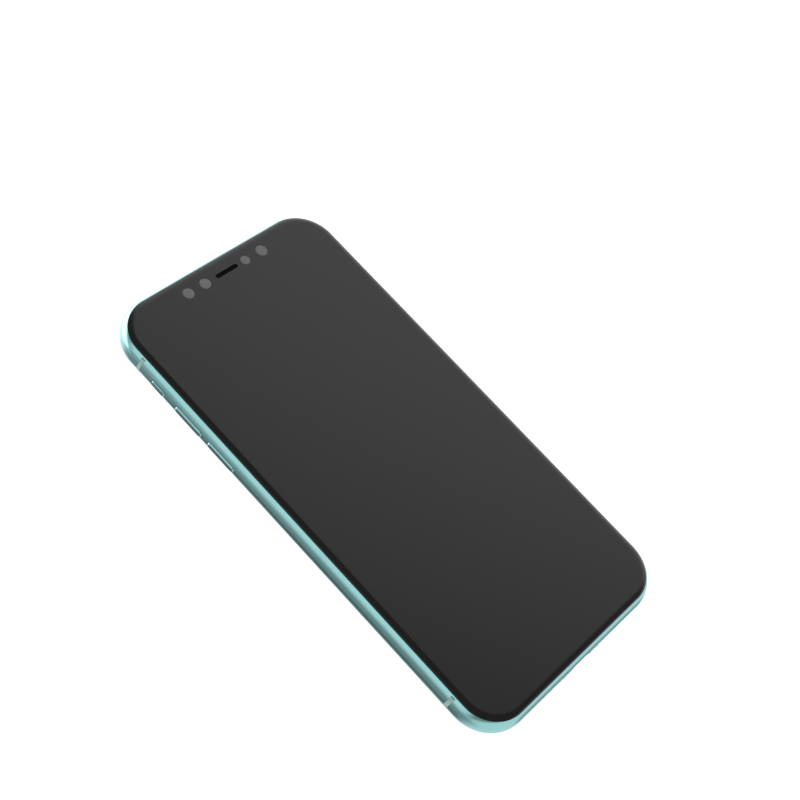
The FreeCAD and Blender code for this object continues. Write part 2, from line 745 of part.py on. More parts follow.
def housing_screws():
    """Countersunk screws that hold the index plate to the housing."""
    bottom = INDEX_PLATE_BOTTOM + HOUSING_SCREW_SINK
    profile = [
        (0, bottom),
        (HOUSING_SCREW_HEAD_RADIUS, bottom),
        (HOUSING_SCREW_RADIUS, INDEX_PLATE_BOTTOM + HOUSING_SCREW_CONE_END),
        (HOUSING_SCREW_RADIUS, HEAD_CAVITY_BOTTOM),
        (0, HEAD_CAVITY_BOTTOM),
    ]
    screw = turned(profile, HOUSING_SCREW_CIRCLE, 0)
    return spread(screw, HOUSING_SCREW_COUNT, HOUSING_SCREW_TURN)


def index_plate():
    """Disc with a ring of dimples that the detent ball drops into."""
    bottom = INDEX_PLATE_BOTTOM
    blank = disc(INDEX_PLATE_RADIUS, bottom, HEAD_BOTTOM, INDEX_PLATE_BEVEL)
    ball_centre = Vector(0, DETENT_OFFSET, DETENT_BALL_HEIGHT)
    dimple = Part.makeSphere(DETENT_BALL_RADIUS + DIMPLE_GAP, ball_centre)
    cuts = spread(dimple, DETENT_COUNT)
    cuts.append(rod_z(SWIVEL_THREAD_RADIUS, bottom, HEAD_BOTTOM))
    head_room = rod_z(
        HOUSING_SCREW_HEAD_RADIUS, bottom, bottom + HOUSING_SCREW_SINK, HOUSING_SCREW_CIRCLE, 0
    )
    cuts.extend(spread(head_room, HOUSING_SCREW_COUNT, HOUSING_SCREW_TURN))
    cuts.extend(housing_screws())
    return blank.cut(cuts)


def swivel_screw():
    """Shouldered screw that the head turns on."""
    profile = [
        (0, SWIVEL_HEAD_BOTTOM),
        (SWIVEL_HEAD_RADIUS - SWIVEL_BEVEL, SWIVEL_HEAD_BOTTOM),
        (SWIVEL_HEAD_RADIUS, SWIVEL_HEAD_BOTTOM + SWIVEL_BEVEL),
        (SWIVEL_HEAD_RADIUS, SWIVEL_HEAD_TOP),
        (SWIVEL_RADIUS, SWIVEL_HEAD_TOP),
        (SWIVEL_RADIUS, INDEX_PLATE_BOTTOM),
        (SWIVEL_THREAD_RADIUS, INDEX_PLATE_BOTTOM),
        (SWIVEL_THREAD_RADIUS, HEAD_CAVITY_BOTTOM),
        (0, HEAD_CAVITY_BOTTOM),
    ]
    socket_end = SWIVEL_HEAD_BOTTOM + SWIVEL_SOCKET_DEPTH
    return turned(profile).cut(hexagon(SWIVEL_HEX_KEY, SWIVEL_HEAD_BOTTOM, socket_end))


def spring_washer():
    """Wave washer under the swivel screw's head, which keeps the turn stiff."""
    top = SWIVEL_RECESS_FLOOR - RUNNING_CLEARANCE
    return ring(SWIVEL_RADIUS, SWIVEL_HEAD_RADIUS, SWIVEL_HEAD_TOP, top)


def head_housing():
    """Turned cup that holds the magnets."""
    top = HEAD_BOTTOM + HEAD_HEIGHT
    profile = [
        (0, HEAD_BOTTOM),
        (HEAD_RADIUS - HEAD_LOWER_BEVEL, HEAD_BOTTOM),
        (HEAD_RADIUS, HEAD_BOTTOM + HEAD_LOWER_BEVEL),
        (HEAD_RADIUS, top - HEAD_UPPER_BEVEL),
        (HEAD_RADIUS - HEAD_UPPER_BEVEL, top),
        (HEAD_CAVITY_RADIUS, top),
        (HEAD_CAVITY_RADIUS, HEAD_CAVITY_BOTTOM),
        (0, HEAD_CAVITY_BOTTOM),
    ]
    cuts = housing_screws()
    cuts.append(rod_z(SWIVEL_THREAD_RADIUS, HEAD_BOTTOM, HEAD_CAVITY_BOTTOM))
    return turned(profile).cut(cuts)


def back_iron():
    return rod_z(HEAD_CAVITY_RADIUS, HEAD_CAVITY_BOTTOM, MAGNET_BOTTOM)


def magnets():
    """A centre magnet and a ring of smaller ones."""
    outer = rod_z(MAGNET_RADIUS, MAGNET_BOTTOM, MAGNET_TOP, 0, MAGNET_CIRCLE)
    centre = rod_z(CENTRE_MAGNET_RADIUS, MAGNET_BOTTOM, MAGNET_TOP)
    return spread(outer, MAGNET_COUNT) + [centre]


def magnet_carrier():
    """Moulded disc whose pockets keep the magnets apart."""
    return rod_z(HEAD_CAVITY_RADIUS, MAGNET_BOTTOM, MAGNET_TOP).cut(magnets())


def face_pad():
    """Rubber face that the phone's plate rests on."""
    profile = [
        (0, MAGNET_TOP),
        (HEAD_CAVITY_RADIUS, MAGNET_TOP),
        (HEAD_CAVITY_RADIUS, HEAD_FACE - FACE_PAD_BEVEL),
        (HEAD_CAVITY_RADIUS - FACE_PAD_BEVEL, HEAD_FACE),
        (0, HEAD_FACE),
    ]
    return turned(profile)


def steel_plate():
    top = HEAD_FACE + STEEL_PLATE_THICKNESS
    return disc(STEEL_PLATE_RADIUS, HEAD_FACE, top, STEEL_PLATE_BEVEL)


def adhesive_pad():
    radius = STEEL_PLATE_RADIUS - ADHESIVE_INSET
    return rod_z(radius, PHONE_BACK - ADHESIVE_THICKNESS, PHONE_BACK)


# Phone, in its own frame: z is 0 at the top of the glass and falls towards the back

def phone_outer():
    """The whole outside of the phone, with rounded long edges."""
    blank = rounded_prism(PHONE_WIDTH, PHONE_LENGTH, PHONE_CORNER, -PHONE_THICKNESS, 0)
    rims = []
    for edge in blank.Edges:
        first = edge.valueAt(edge.FirstParameter)
        last = edge.valueAt(edge.LastParameter)
        if abs(first.z - last.z) < 0.01:
            rims.append(edge)
    return blank.makeFillet(PHONE_EDGE_ROUNDING, rims)


def glass_prism(margin, z0, z1):
    """A block with the glass's outline, larger all round by margin."""
    return rounded_prism(
        GLASS_WIDTH + 2 * margin, GLASS_LENGTH + 2 * margin, GLASS_CORNER + margin, z0, z1
    )


def phone_cavity():
    return rounded_prism(
        PHONE_WIDTH - 2 * FRAME_WALL,
        PHONE_LENGTH - 2 * FRAME_WALL,
        PHONE_CORNER - FRAME_WALL,
        -PHONE_THICKNESS,
        0,
    )


def from_glass_top(distance):
    """The y of a place measured down from the top edge of the glass."""
    return GLASS_TOP_EDGE - distance


def antenna_slots():
    slots = []
    inner = HALF_WIDTH - ANTENNA_DEPTH
    for distance in (ANTENNA_SETBACK, GLASS_LENGTH - ANTENNA_SETBACK):
        y = from_glass_top(distance)
        for x0, x1 in ((-HALF_WIDTH, -inner), (inner, HALF_WIDTH)):
            y0 = y - ANTENNA_WIDTH / 2
            slots.append(box(x0, x1, y0, y0 + ANTENNA_WIDTH, -PHONE_THICKNESS, 0))
    return slots


def frame_blank():
    """The band before its slots and holes are cut."""
    return phone_outer().cut([
        phone_cavity(),
        glass_prism(GASKET_THICKNESS, -GLASS_THICKNESS, 0),
        glass_prism(0, -PHONE_THICKNESS, -PHONE_THICKNESS + BACK_GLASS_THICKNESS),
    ])


def antenna_bands(blank):
    bands = []
    for slot in antenna_slots():
        bands.extend(blank.common(slot).Solids)
    return bands


def side_button(centre, length, side):
    """A pressed button with a wider flange inside the band. side is -1 for the left."""
    y = from_glass_top(centre)
    gap = BUTTON_GAP
    outer_x = HALF_WIDTH + BUTTON_PROUD
    flange_x = CAVITY_HALF_WIDTH - FLANGE_GAP
    key = pill_x(length - 2 * gap, BUTTON_HEIGHT - 2 * gap, flange_x, outer_x, y, MID_HEIGHT)
    rims = [edge for edge in key.Edges if edge.BoundBox.XMin > outer_x - 0.01]
    key = key.makeFillet(BUTTON_ROUNDING, rims)
    flange = pill_x(
        length + 2 * FLANGE_LIP,
        BUTTON_HEIGHT + 2 * FLANGE_LIP,
        flange_x - FLANGE_THICKNESS,
        flange_x,
        y,
        MID_HEIGHT,
    )
    button = key.fuse(flange).removeSplitter()
    if side < 0:
        button = button.mirror(Vector(0, y, 0), AXIS_X)
    return button


def button_hole(centre, length, side):
    y = from_glass_top(centre)
    inner = CAVITY_HALF_WIDTH - CUT_MARGIN
    hole = pill_x(length, BUTTON_HEIGHT, inner, HALF_WIDTH + CUT_MARGIN, y, MID_HEIGHT)
    if side < 0:
        hole = hole.mirror(Vector(0, y, 0), AXIS_X)
    return hole


def mute_switch():
    """Two-position switch on the left side: a shoe in a recess and its stem."""
    y = from_glass_top(MUTE_CENTRE)
    middle = MID_HEIGHT + MUTE_TRAVEL / 2
    floor = -HALF_WIDTH + MUTE_RECESS - MUTE_FLOOR_GAP
    face = -HALF_WIDTH - MUTE_SHOE_PROUD
    shoe = pill_x(MUTE_SHOE_LENGTH, MUTE_SHOE_HEIGHT, face, floor, y, middle)
    reach = MUTE_SHOE_HEIGHT / 2 - MUTE_SLOT_MARGIN
    stem_end = -CAVITY_HALF_WIDTH + MUTE_STEM_REACH
    y0 = y - MUTE_STEM_LENGTH / 2
    stem = box(floor, stem_end, y0, y0 + MUTE_STEM_LENGTH, middle - reach, middle + reach)
    return shoe.fuse(stem).removeSplitter()


def mute_room():
    """The switch's recess and the slot that its stem slides in."""
    y = from_glass_top(MUTE_CENTRE)
    outside = -HALF_WIDTH - CUT_MARGIN
    floor = -HALF_WIDTH + MUTE_RECESS
    recess = pill_x(MUTE_LENGTH, BUTTON_HEIGHT, outside, floor, y, MID_HEIGHT)
    inside = -CAVITY_HALF_WIDTH + CUT_MARGIN
    y0 = y - MUTE_SLOT_LENGTH / 2
    z0 = MID_HEIGHT - BUTTON_HEIGHT / 2 + MUTE_SLOT_MARGIN
    z1 = MID_HEIGHT + BUTTON_HEIGHT / 2 - MUTE_SLOT_MARGIN
    slot = box(-HALF_WIDTH, inside, y0, y0 + MUTE_SLOT_LENGTH, z0, z1)
    return [recess, slot]


def speaker_holes():
    holes = []
    inner = -HALF_LENGTH + BAND_HOLE_DEPTH
    for side in (-1, 1):
        for index in range(SPEAKER_HOLES):
            x = side * (SPEAKER_START + SPEAKER_PITCH * index)
            holes.append(rod_y(SPEAKER_HOLE_RADIUS, -HALF_LENGTH, inner, x, MID_HEIGHT))
    return holes


def bottom_screw_rod(side):
    """The outline of a case screw, which is also its hole. side is -1 for the left."""
    inner = -HALF_LENGTH + BOTTOM_SCREW_LENGTH
    return rod_y(BOTTOM_SCREW_RADIUS, -HALF_LENGTH, inner, side * BOTTOM_SCREW_X, MID_HEIGHT)


def bottom_screws():
    """Two small case screws beside the charging port, each with a cross slot."""
    screws = []
    y0 = -HALF_LENGTH
    y1 = y0 + CROSS_DEPTH
    for side in (-1, 1):
        x = side * BOTTOM_SCREW_X
        cross = []
        for width, height in ((CROSS_LENGTH, CROSS_WIDTH), (CROSS_WIDTH, CROSS_LENGTH)):
            z0 = MID_HEIGHT - height / 2
            cross.append(box(x - width / 2, x + width / 2, y0, y1, z0, z0 + height))
        screws.append(bottom_screw_rod(side).cut(cross))
    return screws


def phone_frame(blank):
    """The anodised band with all its slots and holes."""
    cuts = antenna_slots()
    cuts.append(button_hole(VOLUME_UP_CENTRE, VOLUME_UP_LENGTH, -1))
    cuts.append(button_hole(VOLUME_DOWN_CENTRE, VOLUME_DOWN_LENGTH, -1))
    cuts.append(button_hole(SIDE_BUTTON_CENTRE, SIDE_BUTTON_LENGTH, 1))
    cuts.extend(mute_room())
    port_end = -HALF_LENGTH + BAND_HOLE_DEPTH
    cuts.append(pill_y(PORT_WIDTH, PORT_HEIGHT, -HALF_LENGTH, port_end, MID_HEIGHT))
    cuts.extend(speaker_holes())
    for side in (-1, 1):
        cuts.append(bottom_screw_rod(side))
    return blank.cut(cuts)


def sensor_windows():
    """Four round windows along the top of the glass."""
    y = from_glass_top(SENSOR_SETBACK)
    return [rod_z(radius, -INLAY_DEPTH, 0, x, y) for x, radius in SENSOR_WINDOWS]


def earpiece_grille():
    """The long slot between the windows."""
    y = from_glass_top(SENSOR_SETBACK)
    radius = EARPIECE_RADIUS
    x0 = EARPIECE_LEFT + radius
    x1 = EARPIECE_RIGHT - radius
    middle = box(x0, x1, y - radius, y + radius, -INLAY_DEPTH, 0)
    ends = [rod_z(radius, -INLAY_DEPTH, 0, x0, y), rod_z(radius, -INLAY_DEPTH, 0, x1, y)]
    return middle.fuse(ends).removeSplitter()


def front_glass():
    pane = phone_outer().common(glass_prism(0, -GLASS_THICKNESS, 0))
    return pane.cut(sensor_windows() + [earpiece_grille()])


def bezel_gasket():
    """The thin seal between the glass and the band."""
    outer = glass_prism(GASKET_THICKNESS, -GLASS_THICKNESS, GASKET_TOP)
    return outer.cut(glass_prism(0, -GLASS_THICKNESS, GASKET_TOP))


def back_glass():
    inner = -PHONE_THICKNESS + BACK_GLASS_THICKNESS
    return phone_outer().common(glass_prism(-BACK_GLASS_GAP, -PHONE_THICKNESS, inner))


def camera_prism(margin, z0, z1):
    prism = rounded_prism(
        CAMERA_PLATE_WIDTH - 2 * margin,
        CAMERA_PLATE_LENGTH - 2 * margin,
        CAMERA_PLATE_WIDTH / 2 - margin - 0.01,
        z0,
        z1,
    )
    return moved(prism, CAMERA_X, CAMERA_Y)


def camera_lenses():
    """Two lens barrels that stand out of the camera plate."""
    top = -PHONE_THICKNESS
    bottom = top - CAMERA_PLATE_HEIGHT - LENS_PROUD
    barrel = [
        (0, top),
        (LENS_RADIUS, top),
        (LENS_RADIUS, bottom + LENS_BEVEL),
        (LENS_RADIUS - LENS_BEVEL, bottom),
        (LENS_RADIUS - LENS_RIM, bottom),
        (LENS_RADIUS - LENS_RIM, bottom + LENS_BEVEL),
        (0, bottom + LENS_BEVEL),
    ]
    reach = CAMERA_SPACING / 2
    return [turned(barrel, CAMERA_X, CAMERA_Y + side * reach) for side in (-1, 1)]


def flash_lens():
    """Round flash window between the two lenses."""
    top = -PHONE_THICKNESS
    return rod_z(FLASH_RADIUS, top - CAMERA_PLATE_HEIGHT, top, CAMERA_X, CAMERA_Y)


def camera_plate():
    top = -PHONE_THICKNESS
    plate = camera_prism(0, top - CAMERA_PLATE_HEIGHT, top)
    return plate.cut(camera_lenses() + [flash_lens()])


def display_panel():
    return rounded_prism(
        DISPLAY_WIDTH, DISPLAY_LENGTH, DISPLAY_CORNER, DISPLAY_BOTTOM, -GLASS_THICKNESS
    )


def mid_plate():
    return rounded_prism(
        MID_PLATE_WIDTH, MID_PLATE_LENGTH, MID_PLATE_CORNER, MID_PLATE_BOTTOM, DISPLAY_BOTTOM
    )


def battery():
    """Soft pack cell, under the mid plate on the left."""
    top = MID_PLATE_BOTTOM - BATTERY_GAP
    bottom = top - BATTERY_THICKNESS
    cell = rounded_prism(BATTERY_WIDTH, BATTERY_LENGTH, BATTERY_CORNER, bottom, top)
    return moved(cell, BATTERY_X, BATTERY_Y)


def logic_board():
    """L-shaped circuit board along the right side and the top, under the mid plate."""
    z1 = MID_PLATE_BOTTOM - BOARD_GAP
    z0 = z1 - BOARD_THICKNESS
    side = box(BOARD_LEFT, BOARD_RIGHT, BOARD_LOW, BOARD_HIGH, z0, z1)
    top = box(-BOARD_RIGHT, BOARD_LEFT, BOARD_HIGH - BOARD_ARM, BOARD_HIGH, z0, z1)
    return side.fuse(top).removeSplitter()


def button_switches():
    """Dome switch blocks behind the three pressed buttons."""
    flange_inner = CAVITY_HALF_WIDTH - FLANGE_GAP - FLANGE_THICKNESS
    x1 = flange_inner - BUTTON_TRAVEL - SWITCH_GAP
    z0 = MID_HEIGHT - SWITCH_HEIGHT / 2
    blocks = []
    for centre, side in (
        (VOLUME_UP_CENTRE, -1), (VOLUME_DOWN_CENTRE, -1), (SIDE_BUTTON_CENTRE, 1)
    ):
        y = from_glass_top(centre)
        y0 = y - SWITCH_LENGTH / 2
        block = box(x1 - SWITCH_DEPTH, x1, y0, y0 + SWITCH_LENGTH, z0, z0 + SWITCH_HEIGHT)
        if side < 0:
            block = block.mirror(Vector(0, y, 0), AXIS_X)
        blocks.append(block)
    return blocks


def charging_port():
    """Metal socket shell with a tongue, behind the hole in the bottom of the band."""
    y0 = -HALF_LENGTH + PORT_SETBACK
    y1 = y0 + PORT_DEPTH
    shell = pill_y(PORT_WIDTH, PORT_HEIGHT, y0, y1, MID_HEIGHT)
    mouth_end = y1 - PORT_BACK_WALL
    mouth = pill_y(PORT_WIDTH - 2 * PORT_WALL, PORT_HEIGHT - 2 * PORT_WALL, y0, mouth_end, MID_HEIGHT)
    half = TONGUE_WIDTH / 2
    z0 = MID_HEIGHT - TONGUE_THICKNESS / 2
    tongue = box(-half, half, y0 + TONGUE_SETBACK, mouth_end, z0, z0 + TONGUE_THICKNESS)
    return shell.cut(mouth).fuse(tongue).removeSplitter()


def make_clamp():
    save("clamp_arm", clamp_arm())
    save("upper_shim", half_shim(True), CLAMP_PLACEMENT)
    save("hinge_pin", hinge_pin(), CLAMP_PLACEMENT)
    save("pin_clip", pin_clip(), CLAMP_PLACEMENT)
    save("lower_jaw", lower_jaw(), CLAMP_PLACEMENT)
    save("lower_shim", half_shim(False), CLAMP_PLACEMENT)
    save("clamp_bolt", clamp_bolt(), CLAMP_PLACEMENT)
    save("bolt_washer", bolt_washer(), CLAMP_PLACEMENT)


def make_head():
    save("tilt_fork", tilt_fork(), HEAD_PLACEMENT)
    save("tilt_bolt", tilt_bolt(), HEAD_PLACEMENT)
    save("tilt_nut", tilt_nut(), HEAD_PLACEMENT)
    save_group("friction_washers", friction_washers(), HEAD_PLACEMENT)
    save("detent_ball", detent_ball(), HEAD_PLACEMENT)
    save("detent_spring", detent_spring(), HEAD_PLACEMENT)
    save("detent_screw", detent_screw(), HEAD_PLACEMENT)
    save("thrust_washer", thrust_washer(), HEAD_PLACEMENT)
    save("index_plate", index_plate(), HEAD_PLACEMENT)
    save("swivel_screw", swivel_screw(), HEAD_PLACEMENT)
    save("spring_washer", spring_washer(), HEAD_PLACEMENT)
    save("head_housing", head_housing(), HEAD_PLACEMENT)
    save_group("housing_screws", housing_screws(), HEAD_PLACEMENT)
    save("back_iron", back_iron(), HEAD_PLACEMENT)
    save("magnet_carrier", magnet_carrier(), HEAD_PLACEMENT)
    save_group("magnets", magnets(), HEAD_PLACEMENT)
    save("face_pad", face_pad(), HEAD_PLACEMENT)
    save("steel_plate", steel_plate(), HEAD_PLACEMENT)
    save("adhesive_pad", adhesive_pad(), HEAD_PLACEMENT)


def make_phone():
    blank = frame_blank()
    save("phone_frame", phone_frame(blank), PHONE_PLACEMENT)
    save_group("phone_antenna_bands", antenna_bands(blank), PHONE_PLACEMENT)
    save("phone_front_glass", front_glass(), PHONE_PLACEMENT)
    save("phone_bezel_gasket", bezel_gasket(), PHONE_PLACEMENT)
    save_group("phone_sensor_windows", sensor_windows(), PHONE_PLACEMENT)
    save("phone_earpiece_grille", earpiece_grille(), PHONE_PLACEMENT)
    save("phone_display_panel", display_panel(), PHONE_PLACEMENT)
    save("phone_mid_plate", mid_plate(), PHONE_PLACEMENT)
    save("phone_battery", battery(), PHONE_PLACEMENT)
    save("phone_logic_board", logic_board(), PHONE_PLACEMENT)
    save("phone_back_glass", back_glass(), PHONE_PLACEMENT)
    save("phone_camera_plate", camera_plate(), PHONE_PLACEMENT)
    save_group("phone_camera_lenses", camera_lenses(), PHONE_PLACEMENT)
    save("phone_flash_lens", flash_lens(), PHONE_PLACEMENT)
    save_group("phone_button_switches", button_switches(), PHONE_PLACEMENT)
    save("phone_charging_port", charging_port(), PHONE_PLACEMENT)
    save_group("phone_bottom_screws", bottom_screws(), PHONE_PLACEMENT)
    save("phone_volume_up", side_button(VOLUME_UP_CENTRE, VOLUME_UP_LENGTH, -1), PHONE_PLACEMENT)
    save(
        "phone_volume_down",
        side_button(VOLUME_DOWN_CENTRE, VOLUME_DOWN_LENGTH, -1),
        PHONE_PLACEMENT,
    )
    save(
        "phone_side_button", side_button(SIDE_BUTTON_CENTRE, SIDE_BUTTON_LENGTH, 1), PHONE_PLACEMENT
    )
    save("phone_mute_switch", mute_switch(), PHONE_PLACEMENT)


os.makedirs("parts", exist_ok=True)
make_clamp()
make_head()
make_phone()
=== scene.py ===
import json
import math

import bmesh
import bpy
from mathutils import Matrix, Vector


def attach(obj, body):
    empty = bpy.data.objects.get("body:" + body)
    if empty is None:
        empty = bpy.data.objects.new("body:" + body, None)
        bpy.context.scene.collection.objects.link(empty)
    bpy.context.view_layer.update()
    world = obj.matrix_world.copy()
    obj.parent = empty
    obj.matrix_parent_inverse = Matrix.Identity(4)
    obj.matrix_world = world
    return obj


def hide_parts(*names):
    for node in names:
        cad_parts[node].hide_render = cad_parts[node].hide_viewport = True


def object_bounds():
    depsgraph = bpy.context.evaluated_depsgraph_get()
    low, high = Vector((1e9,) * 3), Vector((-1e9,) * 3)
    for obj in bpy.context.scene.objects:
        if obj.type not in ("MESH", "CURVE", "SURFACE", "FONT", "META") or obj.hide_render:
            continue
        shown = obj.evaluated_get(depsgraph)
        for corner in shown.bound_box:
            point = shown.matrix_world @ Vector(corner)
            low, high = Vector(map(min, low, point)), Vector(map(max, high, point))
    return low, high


# The looks of a magnetic handlebar phone mount that holds a phone.
# Everything above the tilt pivot is built in the head's frame: its origin is the pivot, its z axis
# is the normal of the screen, its y axis points to the top of the phone. Lengths are metres, apart
# from the sections, which are in millimetres.

MM = 0.001


def rgba(red, green, blue):
    return (red, green, blue, 1.0)


# Phone outline: insets run inward from the widest line of the band
GLASS_INSET = 1.5 * MM
BACK_INSET = 2.2 * MM
CORNER = 12.5 * MM
CORNER_STEPS = 24
PROFILE_STEPS = 10
WALL = 2.8 * MM
SEAT_DEPTH = 1.3 * MM
BACK_SEAT_DEPTH = 1.04 * MM

# Panes: the rounded rim of each, the gap to the band, and how far each reaches into the phone
RIM_RADIUS = 2.8 * MM
RIM_WIDTH = 1.8 * MM
RIM_STEPS = 12
FLAT_START = 0.6 * MM
PANE_GAP = 0.05 * MM
PANE_CHAMFER = (0.4 * MM, 0.1 * MM)
GLASS_THICKNESS = 1.2 * MM
BACK_THICKNESS = 0.95 * MM
SEAL_INSETS = (GLASS_INSET - 0.02 * MM, GLASS_INSET + 0.05 * MM)
SEAL_DEPTHS = (1.2 * MM, 0.62 * MM)
EARPIECE_DEPTH = 0.45 * MM

# Keys in the phone's side: node, body, side (-1 left, 1 right) and half the length of the hole
KEYS = (
    ("phone_volume_up", "volume_up", -1, 5.35 * MM),
    ("phone_volume_down", "volume_down", -1, 5.25 * MM),
    ("phone_side_button", "side_button", 1, 8.5 * MM),
)
KEY_HEIGHT = 2.4 * MM
KEY_HOLE_DEPTH = 3 * MM
MUTE_HALF_LENGTH = 2.7 * MM
MUTE_RECESS = 1.0 * MM
MUTE_SLOT = Vector((3.0, 2.2, 2.0)) * MM

# Holes in the phone's bottom edge, and the antenna strips
PORT_HALF_WIDTH = 4.5 * MM
PORT_HALF_HEIGHT = 1.6 * MM
PORT_DEPTH = 3 * MM
SPEAKER_HOLES = 6
SPEAKER_RADIUS = 0.75 * MM
SPEAKER_START = 12.0 * MM
SPEAKER_PITCH = 2.2 * MM
SPEAKER_DEPTH = 3 * MM
SCREW_X = 7.2 * MM
SCREW_RADIUS = 0.75 * MM
SCREW_DEPTH = 2 * MM
BOTTOM_HOLE_STEPS = 24
ANTENNA_WIDTH = 1.2 * MM
ANTENNA_DEPTH = 1.2 * MM
ANTENNA_FOLLOWS = 0.98 * ANTENNA_DEPTH
ANTENNA_GAP = 0.03 * MM
ANTENNA_PROUD = 0.01 * MM
CUT_BEVEL = 0.12 * MM
CUT_PAST = 1 * MM

# Sections of small turned or moulded pieces, in millimetres
# Keys: (growth of the outline, height over the band), from the flange inside to the cap's face
KEY_SECTION = (
    (0.5, -2.95), (0.6, -2.85), (0.6, -2.45), (0.5, -2.38), (-0.1, -2.38), (-0.1, -0.28),
    (-0.15, -0.13), (-0.26, 0.02), (-0.42, 0.14), (-0.6, 0.20), (-0.8, 0.22),
)
MUTE_SECTION = (
    (0.0, -0.93), (0.0, -0.1), (-0.06, 0.02), (-0.17, 0.12), (-0.32, 0.18), (-0.5, 0.2),
)
# Earpiece mesh: (growth of the outline, height over the screen)
EARPIECE_SECTION = ((0.0, -0.45), (0.0, -0.28), (-0.1, -0.22))
# Sensor windows: (share of the radius, height over the screen)
WINDOW_SECTION = ((1.0, -0.12), (1.0, 0.0), (0.96, 0.02), (0.86, 0.03), (0.5, 0.034))
# Flash: (share of the radius, height over the phone's back)
FLASH_SECTION = ((0.98, 0.0), (0.98, 1.05), (0.9, 1.14), (0.7, 1.18), (0.3, 1.19))
# Camera plate: (inset, distance below its face), and what its round ends leave straight
PLATE_SECTION = ((0.0, 0.4), (0.12, 0.12), (0.4, 0.0))
PLATE_END_FLAT = 0.01 * MM
PLATE_STEPS = 16
# The holes in the plate, from and to these distances off the phone's back
PLATE_HOLE = (0.5 * MM, 4 * MM)
PLATE_HOLE_STEPS = 64
# Lens ring: (inset from its outer radius, distance below its front), from outside to inside
LENS_ROOT = 0.6 * MM
LENS_RING_WALL = 0.9
LENS_RING_SECTION = (
    (0.03, 0.3), (0.15, 0.08), (0.35, 0.0), (LENS_RING_WALL, 0.0), (LENS_RING_WALL + 0.1, 0.15),
)
LENS_GAP = 0.12
LENS_STEPS = 96
# Lens glass: (share of the radius, distance below the ring's front)
LENS_GLASS_SECTION = (
    (1.0, 0.9), (1.0, 0.25), (0.97, 0.2), (0.62, 0.2), (0.58, 0.5), (0.5, 0.52), (0.3, 0.45),
    (0.1, 0.42),
)

# Mount: bevel width and the nodes it goes on
ROUNDED_EDGES = (
    (0.45 * MM, ("clamp_arm", "lower_jaw", "tilt_fork")),
    (0.25 * MM, ("head_housing", "index_plate", "face_pad")),
    (0.15 * MM, ("clamp_bolt", "tilt_bolt", "tilt_nut", "hinge_pin", "swivel_screw")),
    (0.10 * MM, ("bolt_washer", "pin_clip", "housing_screws", "detent_screw", "steel_plate")),
    (0.08 * MM, ("upper_shim", "lower_shim", "adhesive_pad", "thrust_washer", "friction_washers")),
)
# Facets within the flat angle are joined, and edges past the sharp angle are bevelled (degrees)
WELD_DISTANCE = 1e-6
FLAT_ANGLE = 1.0
SHARP_ANGLE = 30.0

# Camera, from the middle of the glass
CAMERA_AZIMUTH = -48.94
CAMERA_ELEVATION = 39.25
CAMERA_DISTANCE = 404.6 * MM
CAMERA_AIM = Vector((7.72, 3.92, 10.20)) * MM
CAMERA_LENS = 67.95
CAMERA_CLIP = (0.01, 20.0)

# Studio: the light comes from a dim world with soft glows, each a direction, the angles in degrees
# from it at which the glow starts and is full, and its light in red, green and blue
WORLD_LIGHT = Vector((0.26, 0.26, 0.26))
GLOWS = (
    (Vector((0.90, 0.25, 0.36)), 59, 33, Vector((0.93, 0.93, 0.93))),
    (Vector((-0.90, -0.05, 0.43)), 38, 12, Vector((0.82, 0.81, 0.80))),
    (Vector((-0.22, 0.97, 0.0)), 48, 24, Vector((3.0, 3.0, 3.0))),
)
# What the camera sees is a plain pale backdrop over a plain pale floor
BACKDROP = rgba(0.92, 0.92, 0.92)
FLOOR_DROP = 0.42
FLOOR_SIZE = 18.0
FLOOR_ROUGHNESS = 0.9
FLOOR_WHITE = 0.94
FLOOR_SEEN = 1.2
FLOOR_GLOW = 0.35
# Patches of painted shade and one painted pool of light on the floor, which only light and mirror: centre,
# the distances from it at which each is full and gone, and its brightness against the plain floor
PAINTED_FLOOR_PATCHES = (
    (Vector((-0.39, 0.40, 0.0)), 0.18, 0.44, 0.27),
    (Vector((-1.30, 0.50, 0.0)), 0.70, 1.28, 0.33),
    (Vector((-9.50, 1.00, 0.0)), 7.00, 8.60, 0.50),
    (Vector((0.33, -0.27, 0.0)), 0.08, 0.26, 0.30),
    (Vector((0.60, 2.40, 0.0)), 0.90, 1.90, 3.20),
)

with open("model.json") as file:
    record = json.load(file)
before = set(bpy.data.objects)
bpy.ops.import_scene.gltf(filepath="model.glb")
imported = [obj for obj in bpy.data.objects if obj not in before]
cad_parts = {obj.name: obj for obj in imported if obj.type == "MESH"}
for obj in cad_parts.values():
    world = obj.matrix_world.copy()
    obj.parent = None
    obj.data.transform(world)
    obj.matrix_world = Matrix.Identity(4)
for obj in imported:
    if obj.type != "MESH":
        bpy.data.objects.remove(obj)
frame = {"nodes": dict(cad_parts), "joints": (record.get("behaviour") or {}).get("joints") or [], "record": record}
cad_low, cad_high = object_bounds()
NODES = frame["nodes"]
JOINTS = {joint["name"]: joint for joint in frame["joints"]}


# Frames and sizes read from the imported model

def head_matrix():
    """The head's frame at rest, from the swivel's joint."""
    turn = JOINTS["head_turn"]
    normal = Vector(turn["axis"]).normalized()
    across = Vector((1, 0, 0))
    rise = normal.cross(across)
    matrix = Matrix((across, rise, normal)).transposed().to_4x4()
    matrix.translation = Vector(turn["pos_m"])
    return matrix


HEAD = head_matrix()
HEAD_INVERSE = HEAD.inverted()


def head_box(node):
    """Lowest and highest corner of a CAD node, in the head's frame."""
    points = [HEAD_INVERSE @ vertex.co for vertex in NODES[node].data.vertices]
    low = Vector([min(point[axis] for point in points) for axis in range(3)])
    high = Vector([max(point[axis] for point in points) for axis in range(3)])
    return low, high


